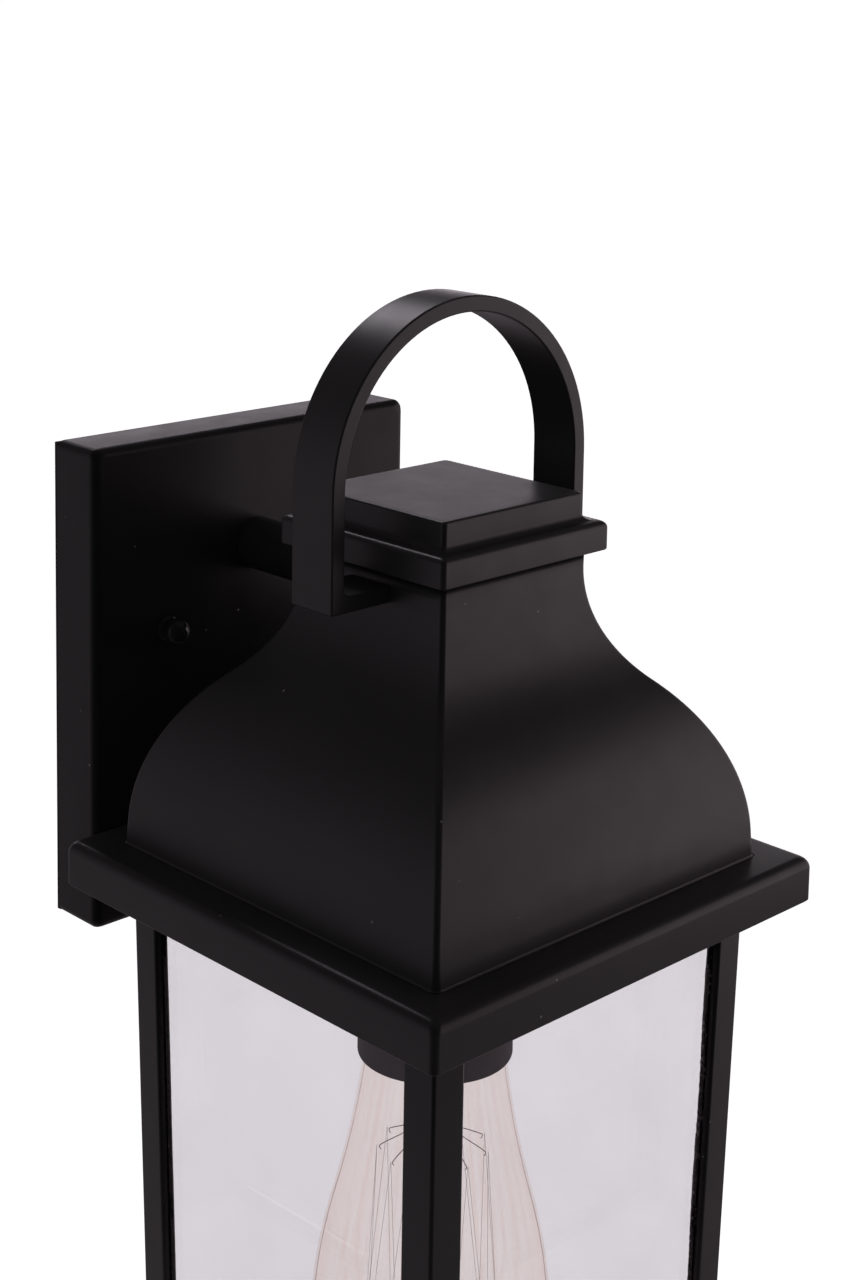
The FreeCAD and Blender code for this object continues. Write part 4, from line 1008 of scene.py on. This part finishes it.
def main():
    make_stage()
    make_camera()
    black = powder_coat()
    materials = {
        "black_powder": black,
        "nut_black": powder_coat("nut_coat", (0.0025, 0.0025, 0.0026), 0.18),
        "foam_black": moulded("foam", (0.03, 0.03, 0.032), 0.85, 500, 0.08),
        "zinc_steel": plated_steel("zinc"),
        "ground_green": plated_steel("green_zinc", (0.05, 0.28, 0.1)),
        "brass_plain": plated_steel("brass", (0.76, 0.57, 0.27), 0.26),
        "solder": plated_steel("solder", (0.6, 0.6, 0.62), 0.4),
        "cover_black": moulded("brown_cover", (0.050, 0.022, 0.020), 0.5),
        "holder_white": moulded("porcelain", (0.78, 0.76, 0.7), 0.2, 300, 0.01),
        "bulb_black": moulded("black_glass", (0.012, 0.012, 0.014), 0.12, 300, 0.005),
        "amber_glass": amber("amber_glass", (0.988, 0.964, 0.945), 1.003),
        "stem_glass": clear("stem_glass", (0.96, 0.94, 0.92), 1.22, 0.02),
        "support_wire": plated_steel("support_wire", (0.62, 0.47, 0.38), 0.5),
        "filament": moulded("carbon", (0.30, 0.19, 0.13), 0.6, 2500, 0.01),
        "lead_black": moulded("black_sleeve", (0.02, 0.02, 0.022), 0.42),
        "lead_white": moulded("white_sleeve", (0.8, 0.8, 0.77), 0.42),
        "copper": plated_steel("copper", (0.72, 0.36, 0.2), 0.3),
        "connector_orange": moulded("orange_plastic", (0.8, 0.26, 0.04), 0.35, 400, 0.02),
        "silicone": silicone(),
        "clear_glass": clear("clear_glass", (0.880, 0.858, 0.885), 1.5, 0.02, waves=0.05),
    }
    make_roof(black)
    # painted shade: the rim gets a copy of the black powder coat that mirrors less, so that it looks
    # darker, as the shade on it does
    make_rim(powder_coat("rim_coat_painted_shade", mirror=0.44))
    make_cap(black)
    make_loop(black)
    # painted shade: the back plate and its lining get a copy of the black powder coat that mirrors less,
    # which darkens them as the shade behind the lantern does
    plate, lining = make_plate(powder_coat("plate_coat_painted_shade", mirror=0.28))
    finish_piece(plate, "root", "black_powder", "back_plate")
    finish_piece(lining, "root", "black_powder")
    make_arm(black)
    make_ball_nuts(materials["nut_black"])
    make_posts(black)
    make_panes(materials["clear_glass"])
    make_sealant(materials["silicone"])
    make_frames(black)
    make_cover(materials["cover_black"])
    make_bulb(*(materials[slot] for slot in (
        "amber_glass", "brass_plain", "bulb_black", "solder", "stem_glass", "support_wire", "filament")))
    make_fasteners(materials["zinc_steel"], materials["ground_green"])
    make_lampholder(materials["holder_white"], materials["brass_plain"])
    make_connectors(materials["connector_orange"])
    dress_cad_nodes(materials)


main()
bpy.context.view_layer.update()
